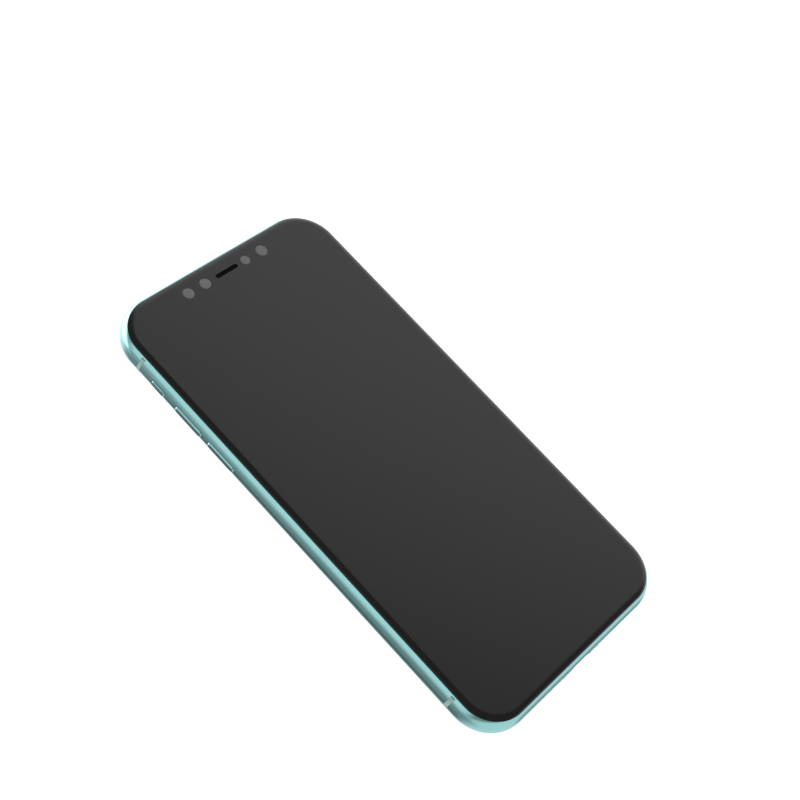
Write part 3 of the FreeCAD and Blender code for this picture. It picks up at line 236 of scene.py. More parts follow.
def head_middle(node):
    """Middle of a CAD node's box, in the head's frame."""
    low, high = head_box(node)
    return (low + high) / 2


def head_half_size(node):
    low, high = head_box(node)
    return (high - low) / 2


GLASS_LOW, GLASS_HIGH = head_box("phone_front_glass")
BAND_LOW, BAND_HIGH = head_box("phone_frame")
BACK_LOW, BACK_HIGH = head_box("phone_back_glass")
PHONE_MIDDLE = (BAND_LOW + BAND_HIGH) / 2
PHONE_TOP = GLASS_HIGH.z
PHONE_BACK = BACK_LOW.z
PHONE_DEPTH = PHONE_TOP - PHONE_BACK
HALF_WIDTH = (BAND_HIGH.x - BAND_LOW.x) / 2
HALF_LENGTH = (BAND_HIGH.y - BAND_LOW.y) / 2
BOTTOM_EDGE = PHONE_MIDDLE.y - HALF_LENGTH
MIDDLE_HEIGHT = PHONE_TOP - PHONE_DEPTH / 2


# Materials

def new_material(name):
    material = bpy.data.materials.new(name)
    material.use_nodes = True
    tree = material.node_tree
    shader = tree.nodes["Principled BSDF"]
    return material, tree, shader


def noise(tree, scale, detail=3.0, roughness=0.5):
    """A noise texture in the piece's own coordinates."""
    place = tree.nodes.new("ShaderNodeTexCoord")
    texture = tree.nodes.new("ShaderNodeTexNoise")
    texture.inputs["Scale"].default_value = scale
    texture.inputs["Detail"].default_value = detail
    texture.inputs["Roughness"].default_value = roughness
    tree.links.new(place.outputs["Object"], texture.inputs["Vector"])
    return texture


def ramp(tree, source, stops):
    """A colour ramp; stops are (position, colour)."""
    node = tree.nodes.new("ShaderNodeValToRGB")
    elements = node.color_ramp.elements
    elements[0].position = stops[0][0]
    elements[0].color = stops[0][1]
    elements[1].position = stops[-1][0]
    elements[1].color = stops[-1][1]
    for position, colour in stops[1:-1]:
        element = elements.new(position)
        element.color = colour
    tree.links.new(source, node.inputs["Fac"])
    return node


def add_bump(tree, shader, source, strength, distance):
    bump = tree.nodes.new("ShaderNodeBump")
    bump.inputs["Strength"].default_value = strength
    bump.inputs["Distance"].default_value = distance
    tree.links.new(source, bump.inputs["Height"])
    tree.links.new(bump.outputs["Normal"], shader.inputs["Normal"])


def scaled(colour, factor):
    return rgba(*[min(1.0, channel * factor) for channel in colour[:3]])


def mottled(tree, shader, colour, spread, scale):
    """Base colour that wanders a little about one value."""
    texture = noise(tree, scale)
    colours = ramp(tree, texture.outputs["Fac"], [
        (0.3, scaled(colour, 1 - spread)),
        (0.7, scaled(colour, 1 + spread)),
    ])
    tree.links.new(colours.outputs["Color"], shader.inputs["Base Color"])


def varied_roughness(tree, shader, low, high, scale):
    texture = noise(tree, scale, detail=4.0)
    spread = tree.nodes.new("ShaderNodeMapRange")
    spread.inputs["From Min"].default_value = 0.3
    spread.inputs["From Max"].default_value = 0.7
    spread.inputs["To Min"].default_value = low
    spread.inputs["To Max"].default_value = high
    tree.links.new(texture.outputs["Fac"], spread.inputs["Value"])
    tree.links.new(spread.outputs["Result"], shader.inputs["Roughness"])


def satin_metal(name, colour, low, high, grain=0.12, spread=0.05):
    """Dyed and sealed aluminium: a fine even grain with slightly uneven gloss."""
    material, tree, shader = new_material(name)
    shader.inputs["Metallic"].default_value = 1.0
    mottled(tree, shader, colour, spread, scale=180.0)
    varied_roughness(tree, shader, low, high, scale=260.0)
    fine = noise(tree, scale=9000.0, detail=1.0)
    add_bump(tree, shader, fine.outputs["Fac"], grain, distance=0.02 * MM)
    return material


def anodising_with_wear_and_painted_highlight(name, colour):
    """Black anodising with lighter edges: partly rubbed-thin wear, partly a painted highlight along the edges."""
    material, tree, shader = new_material(name)
    shader.inputs["Metallic"].default_value = 0.35
    shader.inputs["IOR"].default_value = 1.6
    varied_roughness(tree, shader, low=0.34, high=0.48, scale=220.0)
    geometry = tree.nodes.new("ShaderNodeNewGeometry")
    rounded = tree.nodes.new("ShaderNodeBevel")
    rounded.samples = 4
    rounded.inputs["Radius"].default_value = 0.35 * MM
    likeness = tree.nodes.new("ShaderNodeVectorMath")
    likeness.operation = "DOT_PRODUCT"
    tree.links.new(geometry.outputs["Normal"], likeness.inputs[0])
    tree.links.new(rounded.outputs["Normal"], likeness.inputs[1])
    # Painted highlight and wear: the rounded edges, broken up by rub noise, get a lighter colour
    edges = ramp(tree, likeness.outputs["Value"], [
        (0.86, rgba(1, 1, 1)),
        (0.985, rgba(0, 0, 0)),
    ])
    patches = noise(tree, scale=420.0, detail=5.0, roughness=0.65)
    rubbed = ramp(tree, patches.outputs["Fac"], [(0.45, rgba(0, 0, 0)), (0.7, rgba(1, 1, 1))])
    wear_and_painted_highlight = tree.nodes.new("ShaderNodeMath")
    wear_and_painted_highlight.operation = "MULTIPLY"
    tree.links.new(edges.outputs["Color"], wear_and_painted_highlight.inputs[0])
    tree.links.new(rubbed.outputs["Color"], wear_and_painted_highlight.inputs[1])
    colours = ramp(tree, wear_and_painted_highlight.outputs["Value"], [
        (0.0, colour),
        (1.0, rgba(0.16, 0.16, 0.165)),
    ])
    tree.links.new(colours.outputs["Color"], shader.inputs["Base Color"])
    fine = noise(tree, scale=7000.0, detail=1.0)
    add_bump(tree, shader, fine.outputs["Fac"], strength=0.18, distance=0.03 * MM)
    return material


def turned_metal(name, colour, roughness=0.28, metallic=1.0):
    """Machined steel with a fine uneven surface."""
    material, tree, shader = new_material(name)
    shader.inputs["Metallic"].default_value = metallic
    mottled(tree, shader, colour, spread=0.08, scale=300.0)
    varied_roughness(tree, shader, roughness * 0.8, roughness * 1.3, scale=500.0)
    marks = noise(tree, scale=2600.0, detail=2.0)
    add_bump(tree, shader, marks.outputs["Fac"], strength=0.04, distance=0.02 * MM)
    return material


def rubber(name, colour, roughness=0.75):
    """Matt moulded rubber with a pebbled skin and a dusting of wear."""
    material, tree, shader = new_material(name)
    mottled(tree, shader, colour, spread=0.25, scale=350.0)
    varied_roughness(tree, shader, roughness - 0.1, roughness + 0.1, scale=600.0)
    shader.inputs["Specular IOR Level"].default_value = 0.35
    pebbles = tree.nodes.new("ShaderNodeTexVoronoi")
    place = tree.nodes.new("ShaderNodeTexCoord")
    pebbles.inputs["Scale"].default_value = 2600.0
    tree.links.new(place.outputs["Object"], pebbles.inputs["Vector"])
    add_bump(tree, shader, pebbles.outputs["Distance"], strength=0.35, distance=0.06 * MM)
    return material


def plastic(name, colour, roughness, grain=0.1):
    """Moulded plastic with a faint texture."""
    material, tree, shader = new_material(name)
    mottled(tree, shader, colour, spread=0.06, scale=250.0)
    varied_roughness(tree, shader, roughness * 0.85, roughness * 1.15, scale=400.0)
    fine = noise(tree, scale=5000.0, detail=2.0)
    add_bump(tree, shader, fine.outputs["Fac"], grain, distance=0.03 * MM)
    return material


def backed_glass(name, colour, roughness, coat=0.0):
    """Polished glass over an opaque colour: faint smears change its gloss."""
    material, tree, shader = new_material(name)
    mottled(tree, shader, colour, spread=0.04, scale=22.0)
    varied_roughness(tree, shader, roughness, roughness * 1.8, scale=35.0)
    shader.inputs["IOR"].default_value = 1.5
    shader.inputs["Coat Weight"].default_value = coat
    shader.inputs["Coat Roughness"].default_value = 0.02
    return material


def mesh_grille(name):
    """Black woven mesh behind the earpiece slot."""
    material, tree, shader = new_material(name)
    place = tree.nodes.new("ShaderNodeTexCoord")
    holes = tree.nodes.new("ShaderNodeTexVoronoi")
    holes.inputs["Scale"].default_value = 3500.0
    holes.inputs["Randomness"].default_value = 0.0
    tree.links.new(place.outputs["Object"], holes.inputs["Vector"])
    colours = ramp(tree, holes.outputs["Distance"], [
        (0.3, rgba(0.0005, 0.0005, 0.0005)),
        (0.5, rgba(0.006, 0.006, 0.006)),
    ])
    tree.links.new(colours.outputs["Color"], shader.inputs["Base Color"])
    shader.inputs["Roughness"].default_value = 0.9
    shader.inputs["Specular IOR Level"].default_value = 0.1
    add_bump(tree, shader, holes.outputs["Distance"], strength=0.5, distance=0.05 * MM)
    return material


def circuit_board(name):
    """Green board with small lighter and darker blocks."""
    material, tree, shader = new_material(name)
    place = tree.nodes.new("ShaderNodeTexCoord")
    cells = tree.nodes.new("ShaderNodeTexVoronoi")
    cells.distance = "CHEBYCHEV"
    cells.inputs["Scale"].default_value = 220.0
    tree.links.new(place.outputs["Object"], cells.inputs["Vector"])
    colours = ramp(tree, cells.outputs["Distance"], [
        (0.25, rgba(0.03, 0.03, 0.03)),
        (0.4, rgba(0.02, 0.10, 0.05)),
    ])
    tree.links.new(colours.outputs["Color"], shader.inputs["Base Color"])
    shader.inputs["Roughness"].default_value = 0.4
    add_bump(tree, shader, cells.outputs["Distance"], strength=0.4, distance=0.2 * MM)
    return material


MINT = rgba(0.32, 0.62, 0.625)
MATERIALS = {
    "black_anodised": anodising_with_wear_and_painted_highlight("black_anodised", rgba(0.018, 0.018, 0.02)),
    "shim_rubber": rubber("shim_rubber", rgba(0.022, 0.022, 0.024)),
    "black_steel": turned_metal("black_steel", rgba(0.045, 0.045, 0.05), 0.32, 0.85),
    "stainless": turned_metal("stainless", rgba(0.58, 0.57, 0.55)),
    "nylon": plastic("nylon", rgba(0.72, 0.71, 0.66), 0.45),
    "magnet_carrier": plastic("magnet_carrier", rgba(0.05, 0.05, 0.055), 0.55),
    "magnet": turned_metal("magnet", rgba(0.66, 0.65, 0.62), 0.16),
    "adhesive": rubber("adhesive", rgba(0.12, 0.12, 0.125), 0.85),
    "mint_metal": satin_metal("mint_metal", MINT, 0.22, 0.26, 0.015, 0.02),
    "antenna_plastic": plastic("antenna_plastic", rgba(0.38, 0.60, 0.57), 0.4, 0.05),
    "front_glass": backed_glass("front_glass", rgba(0.006, 0.006, 0.0065), 0.045),
    "seal": rubber("seal", rgba(0.012, 0.014, 0.015)),
    "sensor_window": plastic("sensor_window", rgba(0.19, 0.19, 0.195), 0.3, 0.02),
    "grille": mesh_grille("grille"),
    "display": backed_glass("display", rgba(0.01, 0.01, 0.015), 0.2),
    "mid_plate": turned_metal("mid_plate", rgba(0.5, 0.5, 0.51), 0.4),
    "battery": plastic("battery", rgba(0.02, 0.02, 0.022), 0.45, 0.2),
    "board": circuit_board("board"),
    "back_glass": backed_glass("back_glass", rgba(0.46, 0.74, 0.70), 0.06, 0.6),
    "camera_plate": backed_glass("camera_plate", rgba(0.36, 0.62, 0.59), 0.28),
    "lens": backed_glass("lens", rgba(0.004, 0.004, 0.008), 0.03, 1.0),
    "flash": plastic("flash", rgba(0.8, 0.76, 0.6), 0.25, 0.3),
    "port_metal": turned_metal("port_metal", rgba(0.35, 0.35, 0.35), 0.3),
}
NODE_SLOTS = {part["node"]: part["material_slot"] for part in frame["record"]["subparts"]}


# Mesh helpers

def soften(piece, angle=35.0):
    """Smooth shading that keeps flats flat and edges over the given angle sharp."""
    piece.data.set_sharp_from_angle(angle=math.radians(angle))
    for polygon in piece.data.polygons:
        polygon.use_smooth = True
    weighted = piece.modifiers.new("even_normals", "WEIGHTED_NORMAL")
    weighted.keep_sharp = True
    weighted.weight = 100


def add_piece(name, mesh, body, slot, matrix=None, replaced=()):
    """Puts a finished mesh in the scene as a piece of the object."""
    piece = bpy.data.objects.new(name, mesh)
    bpy.context.scene.collection.objects.link(piece)
    if matrix is not None:
        piece.matrix_world = matrix
    mesh.materials.clear()
    mesh.materials.append(MATERIALS[slot])
    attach(piece, body)
    if replaced:
        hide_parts(*replaced)
    return piece


def mesh_from(bm, name):
    bmesh.ops.recalc_face_normals(bm, faces=bm.faces)
    mesh = bpy.data.meshes.new(name)
    bm.to_mesh(mesh)
    bm.free()
    return mesh


def loft_into(bm, rings, closed=False):
    """Joins equal rings of points with quads. Open lofts get a face at each end."""
    made = [[bm.verts.new(point) for point in ring] for ring in rings]
    count = len(made[0])
    pairs = list(zip(made, made[1:]))
    if closed:
        pairs.append((made[-1], made[0]))
    for lower, upper in pairs:
        for index in range(count):
            follow = (index + 1) % count
            bm.faces.new((lower[index], lower[follow], upper[follow], upper[index]))
    if not closed:
        bm.faces.new(made[0])
        bm.faces.new(made[-1])


def loft(name, rings, closed=False):
    bm = bmesh.new()
    loft_into(bm, rings, closed)
    return mesh_from(bm, name)


def arc(centre, radius, start, end, steps):
    """Points on an arc, angles in degrees."""
    points = []
    for index in range(steps + 1):
        angle = math.radians(start + (end - start) * index / steps)
        points.append((centre[0] + radius * math.cos(angle), centre[1] + radius * math.sin(angle)))
    return points


def circle(x, y, radius, height, steps=48):
    """A level ring of points."""
    return [(px, py, height) for px, py in arc((x, y), radius, 0, 360, steps)[:-1]]


def rounded_outline(half_x, half_y, corner, steps=CORNER_STEPS):
    """A rectangle with round corners, as (x, y) points."""
    inner_x = half_x - corner
    inner_y = half_y - corner
    points = []
    for sign_x, sign_y, start in ((1, 1, 0), (-1, 1, 90), (-1, -1, 180), (1, -1, 270)):
        centre = (sign_x * inner_x, sign_y * inner_y)
        points.extend(arc(centre, corner, start, start + 90, steps))
    return points


def phone_ring(inset, height, corner=CORNER):
    """The phone's outline, moved in by inset, at a height below the screen."""
    outline = rounded_outline(HALF_WIDTH - inset, HALF_LENGTH - inset, corner - inset)
    return [(PHONE_MIDDLE.x + x, PHONE_MIDDLE.y + y, PHONE_TOP + height) for x, y in outline]


def stadium_ring(half_length, half_height, grow, height, steps=10):
    """A long rounded outline in the plane of a key, grown by grow. Length runs along y."""
    radius = half_height + grow
    reach = half_length - half_height
    points = arc((0, reach), radius, 0, 180, steps) + arc((0, -reach), radius, 180, 360, steps)
    return [(x, y, height) for x, y in points]


def cut(mesh, cutters):
    """The mesh with the cutter meshes taken out of it."""
    body = bpy.data.objects.new("cut_body", mesh)
    bpy.context.scene.collection.objects.link(body)
    temporary = [body]
    for cutter_mesh in cutters:
        cutter = bpy.data.objects.new("cutter", cutter_mesh)
        bpy.context.scene.collection.objects.link(cutter)
        temporary.append(cutter)
        difference = body.modifiers.new("cut", "BOOLEAN")
        difference.operation = "DIFFERENCE"
        difference.solver = "EXACT"
        difference.object = cutter
    graph = bpy.context.evaluated_depsgraph_get()
    result = bpy.data.meshes.new_from_object(body.evaluated_get(graph))
    for item in temporary:
        bpy.data.objects.remove(item)
    return result


def bevelled(piece, width, angle=40.0, segments=2):
    bevel = piece.modifiers.new("small_bevel", "BEVEL")
    bevel.width = width
    bevel.segments = segments
    bevel.limit_method = "ANGLE"
    bevel.angle_limit = math.radians(angle)
    bevel.use_clamp_overlap = True


def key_matrix(side, y, height):
    """Frame of a key in the phone's side: z points out of the phone, y to its top."""
    outward = Vector((side, 0, 0))
    along = Vector((0, 1, 0))
    matrix = Matrix((along.cross(outward), along, outward)).transposed().to_4x4()
    edge = PHONE_MIDDLE.x + side * HALF_WIDTH
    matrix.translation = Vector((edge, y, height))
    return matrix


# Phone

def rim_drop(run):
    """How far a pane's surface lies below its flat, at a distance outside it."""
    return RIM_RADIUS - math.sqrt(RIM_RADIUS ** 2 - run ** 2)


def band_profile():
    """(inset, height) round the outside of the band: part of an ellipse up to each pane's edge."""
    half = PHONE_DEPTH / 2
    start = math.asin((half - rim_drop(RIM_WIDTH)) / half)
    points = []
    for index in range(-PROFILE_STEPS, PROFILE_STEPS + 1):
        angle = -start * index / PROFILE_STEPS
        edge = BACK_INSET if index > 0 else GLASS_INSET
        inset = edge * (1 - math.cos(angle)) / (1 - math.cos(start))
        points.append((inset, half * math.sin(angle) - half))
    return points


def band_mesh():
    inside = [
        (BACK_INSET, -PHONE_DEPTH + BACK_SEAT_DEPTH),
        (WALL, -PHONE_DEPTH + BACK_SEAT_DEPTH),
        (WALL, -SEAT_DEPTH),
        (GLASS_INSET, -SEAT_DEPTH),
    ]
    rings = [phone_ring(inset, height) for inset, height in band_profile() + inside]
    return loft("phone_frame", rings, closed=True)


def key_cutter(side, y, height, half_length, depth):
    """A pill that cuts a key's hole, with its axis pointing out of the phone."""
    rings = [
        stadium_ring(half_length, KEY_HEIGHT / 2, 0, -depth),
        stadium_ring(half_length, KEY_HEIGHT / 2, 0, 2 * CUT_PAST),
    ]
    mesh = loft("cutter", rings)
    mesh.transform(key_matrix(side, y, height))
    return mesh


def bottom_cutter(outline, depth):
    """Cuts a hole in the phone's bottom edge. The outline is in the plane of that edge."""
    rings = []
    for y in (BOTTOM_EDGE + depth, BOTTOM_EDGE - CUT_PAST):
        rings.append([(x, y, z) for x, z in outline])
    return loft("cutter", rings)


def bottom_hole(x, radius, depth):
    outline = arc((x, MIDDLE_HEIGHT), radius, 0, 360, BOTTOM_HOLE_STEPS)[:-1]
    return bottom_cutter(outline, depth)


def port_cutter():
    stadium = stadium_ring(PORT_HALF_WIDTH, PORT_HALF_HEIGHT, 0, 0)
    outline = [(PHONE_MIDDLE.x + along, MIDDLE_HEIGHT + across) for across, along, _ in stadium]
    return bottom_cutter(outline, PORT_DEPTH)


def antenna_places():
    """(side, y) of the antenna bands, from the corners of their CAD solids."""
    low, high = head_box("phone_antenna_bands")
    half = ANTENNA_WIDTH / 2
    return [(side, y) for side in (-1, 1) for y in (low.y + half, high.y - half)]


def antenna_cutter(side, y):
    outer = PHONE_MIDDLE.x + side * (HALF_WIDTH + CUT_PAST)
    inner = PHONE_MIDDLE.x + side * (HALF_WIDTH - ANTENNA_DEPTH)
    half = ANTENNA_WIDTH / 2
    low = Vector((min(outer, inner), y - half, PHONE_BACK - CUT_PAST))
    high = Vector((max(outer, inner), y + half, PHONE_TOP + CUT_PAST))
    return box_mesh(low, high)


def box_mesh(low, high):
    bm = bmesh.new()
    bmesh.ops.create_cube(bm, size=1.0)
    mesh = mesh_from(bm, "cutter")
    mesh.transform(Matrix.Diagonal((*(high - low), 1.0)))
    mesh.transform(Matrix.Translation((low + high) / 2))
    return mesh


def make_band():
    cutters = []
    for node, body, side, half_length in KEYS:
        place = head_middle(node)
        cutters.append(key_cutter(side, place.y, place.z, half_length, KEY_HOLE_DEPTH))
    mute = head_middle("phone_mute_switch")
    cutters.append(key_cutter(-1, mute.y, MIDDLE_HEIGHT, MUTE_HALF_LENGTH, MUTE_RECESS))
    slot_low = Vector((
        PHONE_MIDDLE.x - HALF_WIDTH,
        mute.y - MUTE_SLOT.y / 2,
        MIDDLE_HEIGHT - MUTE_SLOT.z / 2,
    ))
    cutters.append(box_mesh(slot_low, slot_low + MUTE_SLOT))
    cutters.append(port_cutter())
    for side in (-1, 1):
        cutters.append(bottom_hole(PHONE_MIDDLE.x + side * SCREW_X, SCREW_RADIUS, SCREW_DEPTH))
        for index in range(SPEAKER_HOLES):
            x = PHONE_MIDDLE.x + side * (SPEAKER_START + SPEAKER_PITCH * index)
            cutters.append(bottom_hole(x, SPEAKER_RADIUS, SPEAKER_DEPTH))
    for side, y in antenna_places():
        cutters.append(antenna_cutter(side, y))
    mesh = cut(band_mesh(), cutters)
    band = add_piece("phone_band", mesh, "phone", "mint_metal", HEAD, ["phone_frame"])
    bevelled(band, CUT_BEVEL)
    soften(band)


def make_antenna_bands():
    """Strips that follow the band's rounded section, nearly as far in as the cut for them."""
    section = [
        (inset - ANTENNA_PROUD, height)
        for inset, height in band_profile()
        if inset < ANTENNA_FOLLOWS
    ]
    first_height = section[0][1]
    last_height = section[-1][1]
    section = [(ANTENNA_DEPTH, first_height)] + section + [(ANTENNA_DEPTH, last_height)]
    half = ANTENNA_WIDTH / 2 - ANTENNA_GAP
    bm = bmesh.new()
    for side, y in antenna_places():
        rings = []
        for along in (-half, half):
            rings.append([
                (PHONE_MIDDLE.x + side * (HALF_WIDTH - inset), y + along, PHONE_TOP + height)
                for inset, height in section
            ])
        loft_into(bm, rings)
    mesh = mesh_from(bm, "phone_antenna_strips")
    strips = add_piece(
        "phone_antenna_strips", mesh, "phone", "antenna_plastic", HEAD, ["phone_antenna_bands"]
    )
    soften(strips)


def pane_section(edge, thickness):
    """(inset, depth) of a pane: its chamfered inner edge, its rounded rim, then its flat."""
    across, along = PANE_CHAMFER
    rim = []
    for index in range(RIM_STEPS + 1):
        run = (RIM_WIDTH - PANE_GAP) * (1 - index / RIM_STEPS)
        rim.append((edge + RIM_WIDTH - run, rim_drop(run)))
    rim.append((edge + RIM_WIDTH + FLAT_START, 0.0))
    return [(edge + across, thickness), (rim[0][0], thickness - along)] + rim


def earpiece_ring(grow, height):
    """The earpiece slot's outline, grown by grow, at a height over the screen."""
    middle = head_middle("phone_earpiece_grille")
    half = head_half_size("phone_earpiece_grille")
    outline = stadium_ring(half.x, half.y, grow, height)
    return [(middle.x + along, middle.y + across, PHONE_TOP + z) for across, along, z in outline]


def make_front_glass():
    section = pane_section(GLASS_INSET, GLASS_THICKNESS)
    mesh = loft("phone_front_glass", [phone_ring(inset, -depth) for inset, depth in section])
    slot = loft("cutter", [earpiece_ring(0, -EARPIECE_DEPTH), earpiece_ring(0, CUT_PAST)])
    mesh = cut(mesh, [slot])
    glass = add_piece(
        "phone_glass", mesh, "phone", "front_glass", HEAD, ["phone_front_glass"]
    )
    soften(glass)


def make_back_glass():
    section = pane_section(BACK_INSET, BACK_THICKNESS)
    rings = [phone_ring(inset, depth - PHONE_DEPTH) for inset, depth in section]
    mesh = loft("phone_back_pane", rings)
    pane = add_piece("phone_back_pane", mesh, "phone", "back_glass", HEAD, ["phone_back_glass"])
    soften(pane)


def islands(node):
    """Middle and half size, in the head's frame, of each separate solid in a CAD node."""
    bm = bmesh.new()
    bm.from_mesh(NODES[node].data)
    bmesh.ops.remove_doubles(bm, verts=bm.verts, dist=WELD_DISTANCE)
    left = set(bm.verts)
    found = []
    while left:
        stack = [left.pop()]
        points = []
        while stack:
            vertex = stack.pop()
            points.append(HEAD_INVERSE @ vertex.co)
            for edge in vertex.link_edges:
                other = edge.other_vert(vertex)
                if other in left:
                    left.remove(other)
                    stack.append(other)
        low = Vector([min(point[axis] for point in points) for axis in range(3)])
        high = Vector([max(point[axis] for point in points) for axis in range(3)])
        found.append(((low + high) / 2, (high - low) / 2))
    bm.free()
    found.sort(key=lambda item: (round(item[0].x, 5), round(item[0].y, 5)))
    return found


def make_sensor_windows():
    """Slightly domed windows set in the glass."""
    bm = bmesh.new()
    for middle, half in islands("phone_sensor_windows"):
        loft_into(bm, [
            circle(middle.x, middle.y, half.x * share, PHONE_TOP + height * MM)
            for share, height in WINDOW_SECTION
        ])
    mesh = mesh_from(bm, "phone_windows")
    windows = add_piece(
        "phone_windows", mesh, "phone", "sensor_window", HEAD, ["phone_sensor_windows"]
    )
    soften(windows)


def make_earpiece():
    rings = [earpiece_ring(grow * MM, height * MM) for grow, height in EARPIECE_SECTION]
    mesh = loft("phone_earpiece_mesh", rings)
    piece = add_piece(
        "phone_earpiece_mesh", mesh, "phone", "grille", HEAD, ["phone_earpiece_grille"]
    )
    soften(piece)


def make_seal():
    """The dark line between the glass and the band."""
    outer, inner = SEAL_INSETS
    bottom, top = SEAL_DEPTHS
    section = ((outer, bottom), (outer, top), (inner, top), (inner, bottom))
    rings = [phone_ring(inset, -depth) for inset, depth in section]
    mesh = loft("phone_seal", rings, closed=True)
    seal = add_piece("phone_seal", mesh, "phone", "seal", HEAD, ["phone_bezel_gasket"])
    soften(seal)


def key_mesh(name, section, half_length, half_height, matrix):
    """A pill-shaped piece in the phone's side, from a section in millimetres."""
    rings = [
        stadium_ring(half_length, half_height, grow * MM, height * MM) for grow, height in section
    ]
    mesh = loft(name, rings)
    mesh.transform(matrix)
    return mesh


def make_keys():
    """The keys: a cap with widely rounded edges that stands proud, a neck and a flange."""
    for node, body, side, half_length in KEYS:
        place = head_middle(node)
        matrix = key_matrix(side, place.y, place.z)
        mesh = key_mesh(node, KEY_SECTION, half_length, KEY_HEIGHT / 2, matrix)
        key = add_piece(node + "_cap", mesh, body, "mint_metal", HEAD, [node])
        soften(key)


def make_mute_switch():
    middle = head_middle("phone_mute_switch")
    half = head_half_size("phone_mute_switch")
    matrix = key_matrix(-1, middle.y, middle.z)
    mesh = key_mesh("mute", MUTE_SECTION, half.y, half.z, matrix)
    shoe = add_piece(
        "phone_mute_shoe", mesh, "mute_switch", "mint_metal", HEAD, ["phone_mute_switch"]
    )
    soften(shoe)


def make_camera():
    """The camera plate with the holes for its two lenses and its flash."""
    middle = head_middle("phone_camera_plate")
    half = head_half_size("phone_camera_plate")
    depth = 2 * half.z
    section = [(0.0, depth)] + [(inset * MM, below * MM) for inset, below in PLATE_SECTION]
    rings = []
    for inset, below in section:
        half_x = half.x - inset
        outline = rounded_outline(half_x, half.y - inset, half_x - PLATE_END_FLAT, PLATE_STEPS)
        height = PHONE_BACK - (depth - below)
        rings.append([(middle.x + x, middle.y + y, height) for x, y in outline])
    plate_mesh = loft("phone_camera_island", rings)
    cutters = []
    for centre, size in islands("phone_camera_lenses") + islands("phone_flash_lens"):
        cutters.append(loft("cutter", [
            circle(centre.x, centre.y, size.x, PHONE_BACK - drop, PLATE_HOLE_STEPS)
            for drop in PLATE_HOLE
        ]))
    plate_mesh = cut(plate_mesh, cutters)
    plate = add_piece(
        "phone_camera_island", plate_mesh, "phone", "camera_plate", HEAD, ["phone_camera_plate"]
    )
    soften(plate)


def lens_ring(centre, radius, front):
    """Rings of points of a lens's metal ring, from its root outside to its root inside."""
    root = PHONE_BACK - LENS_ROOT
    section = [(radius - inset * MM, front + sunk * MM) for inset, sunk in LENS_RING_SECTION]
    section = [(section[0][0], root)] + section + [(section[-1][0], root)]
    return [circle(centre.x, centre.y, size, height, LENS_STEPS) for size, height in section]


def make_lenses():
    """Metal rings round dark glass, each with a smaller iris inside."""
    rim_bm = bmesh.new()
    glass_bm = bmesh.new()
    for centre, half in islands("phone_camera_lenses"):
        front = PHONE_BACK - 2 * half.z
        loft_into(rim_bm, lens_ring(centre, half.x, front), closed=True)
        lens_radius = half.x - (LENS_RING_WALL + LENS_GAP) * MM
        loft_into(glass_bm, [
            circle(centre.x, centre.y, lens_radius * share, front + sunk * MM, LENS_STEPS)
            for share, sunk in LENS_GLASS_SECTION
        ])
    rims = add_piece(
        "phone_lens_rims", mesh_from(rim_bm, "phone_lens_rims"), "phone", "mint_metal", HEAD
    )
    soften(rims)
    lenses = add_piece(
        "phone_lenses", mesh_from(glass_bm, "phone_lenses"), "phone", "lens", HEAD,
        ["phone_camera_lenses"],
    )
    soften(lenses)


def make_flash():
    middle = head_middle("phone_flash_lens")
    radius = head_half_size("phone_flash_lens").x
    mesh = loft("phone_flash", [
        circle(middle.x, middle.y, radius * share, PHONE_BACK - height * MM)
        for share, height in FLASH_SECTION
    ])
    flash = add_piece("phone_flash", mesh, "phone", "flash", HEAD, ["phone_flash_lens"])
    soften(flash)


def make_phone():
    make_band()
    make_antenna_bands()
    make_front_glass()
    make_back_glass()
    make_sensor_windows()
    make_earpiece()
    make_seal()
    make_keys()
    make_mute_switch()
    make_camera()
    make_lenses()
    make_flash()


# Mount

def machined_copy(node, body, width):
    """The CAD shape with its facets joined and its sharp edges slightly rounded."""
    bm = bmesh.new()
    bm.from_mesh(NODES[node].data)
    bmesh.ops.remove_doubles(bm, verts=bm.verts, dist=WELD_DISTANCE)
    flat = math.radians(FLAT_ANGLE)
    bmesh.ops.dissolve_limit(
        bm, angle_limit=flat, verts=bm.verts, edges=bm.edges, delimit={"NORMAL"}
    )
    mesh = mesh_from(bm, node + "_finished")
    piece = add_piece(node + "_finished", mesh, body, NODE_SLOTS[node], None, [node])
    bevelled(piece, width, SHARP_ANGLE)
    soften(piece, SHARP_ANGLE)


def body_of(node):
    for body, members in frame["record"]["behaviour"]["bodies"].items():
        if node in members:
            return body
    return None


def make_mount():
    for width, nodes in ROUNDED_EDGES:
        for node in nodes:
            machined_copy(node, body_of(node), width)


def finish_cad_nodes():
    """Gives every CAD node its material, also those that are hidden or replaced."""
    for node, piece in NODES.items():
        piece.data.materials.clear()
        piece.data.materials.append(MATERIALS[NODE_SLOTS[node]])


# Stage

def glass_centre():
    return HEAD @ Vector((PHONE_MIDDLE.x, PHONE_MIDDLE.y, PHONE_TOP))


def add_glow(tree, direction, outer, inner, light):
    """A soft round patch of light in the sky. Returns the socket with its light."""
    place = tree.nodes.new("ShaderNodeTexCoord")
    toward = tree.nodes.new("ShaderNodeVectorMath")
    toward.operation = "DOT_PRODUCT"
    toward.inputs[1].default_value = direction.normalized()
    tree.links.new(place.outputs["Generated"], toward.inputs[0])
    fade = tree.nodes.new("ShaderNodeMapRange")
    fade.interpolation_type = "SMOOTHSTEP"
    fade.inputs["From Min"].default_value = math.cos(math.radians(outer))
    fade.inputs["From Max"].default_value = math.cos(math.radians(inner))
    tree.links.new(toward.outputs["Value"], fade.inputs["Value"])
    glow = tree.nodes.new("ShaderNodeVectorMath")
    glow.operation = "SCALE"
    glow.inputs[0].default_value = light
    tree.links.new(fade.outputs["Result"], glow.inputs["Scale"])
    return glow.outputs["Vector"]


def seen_directly(tree):
    """Socket that is 1 for what is looked at straight and 0 for what lights or is mirrored."""
    return tree.nodes.new("ShaderNodeLightPath").outputs["Is Camera Ray"]


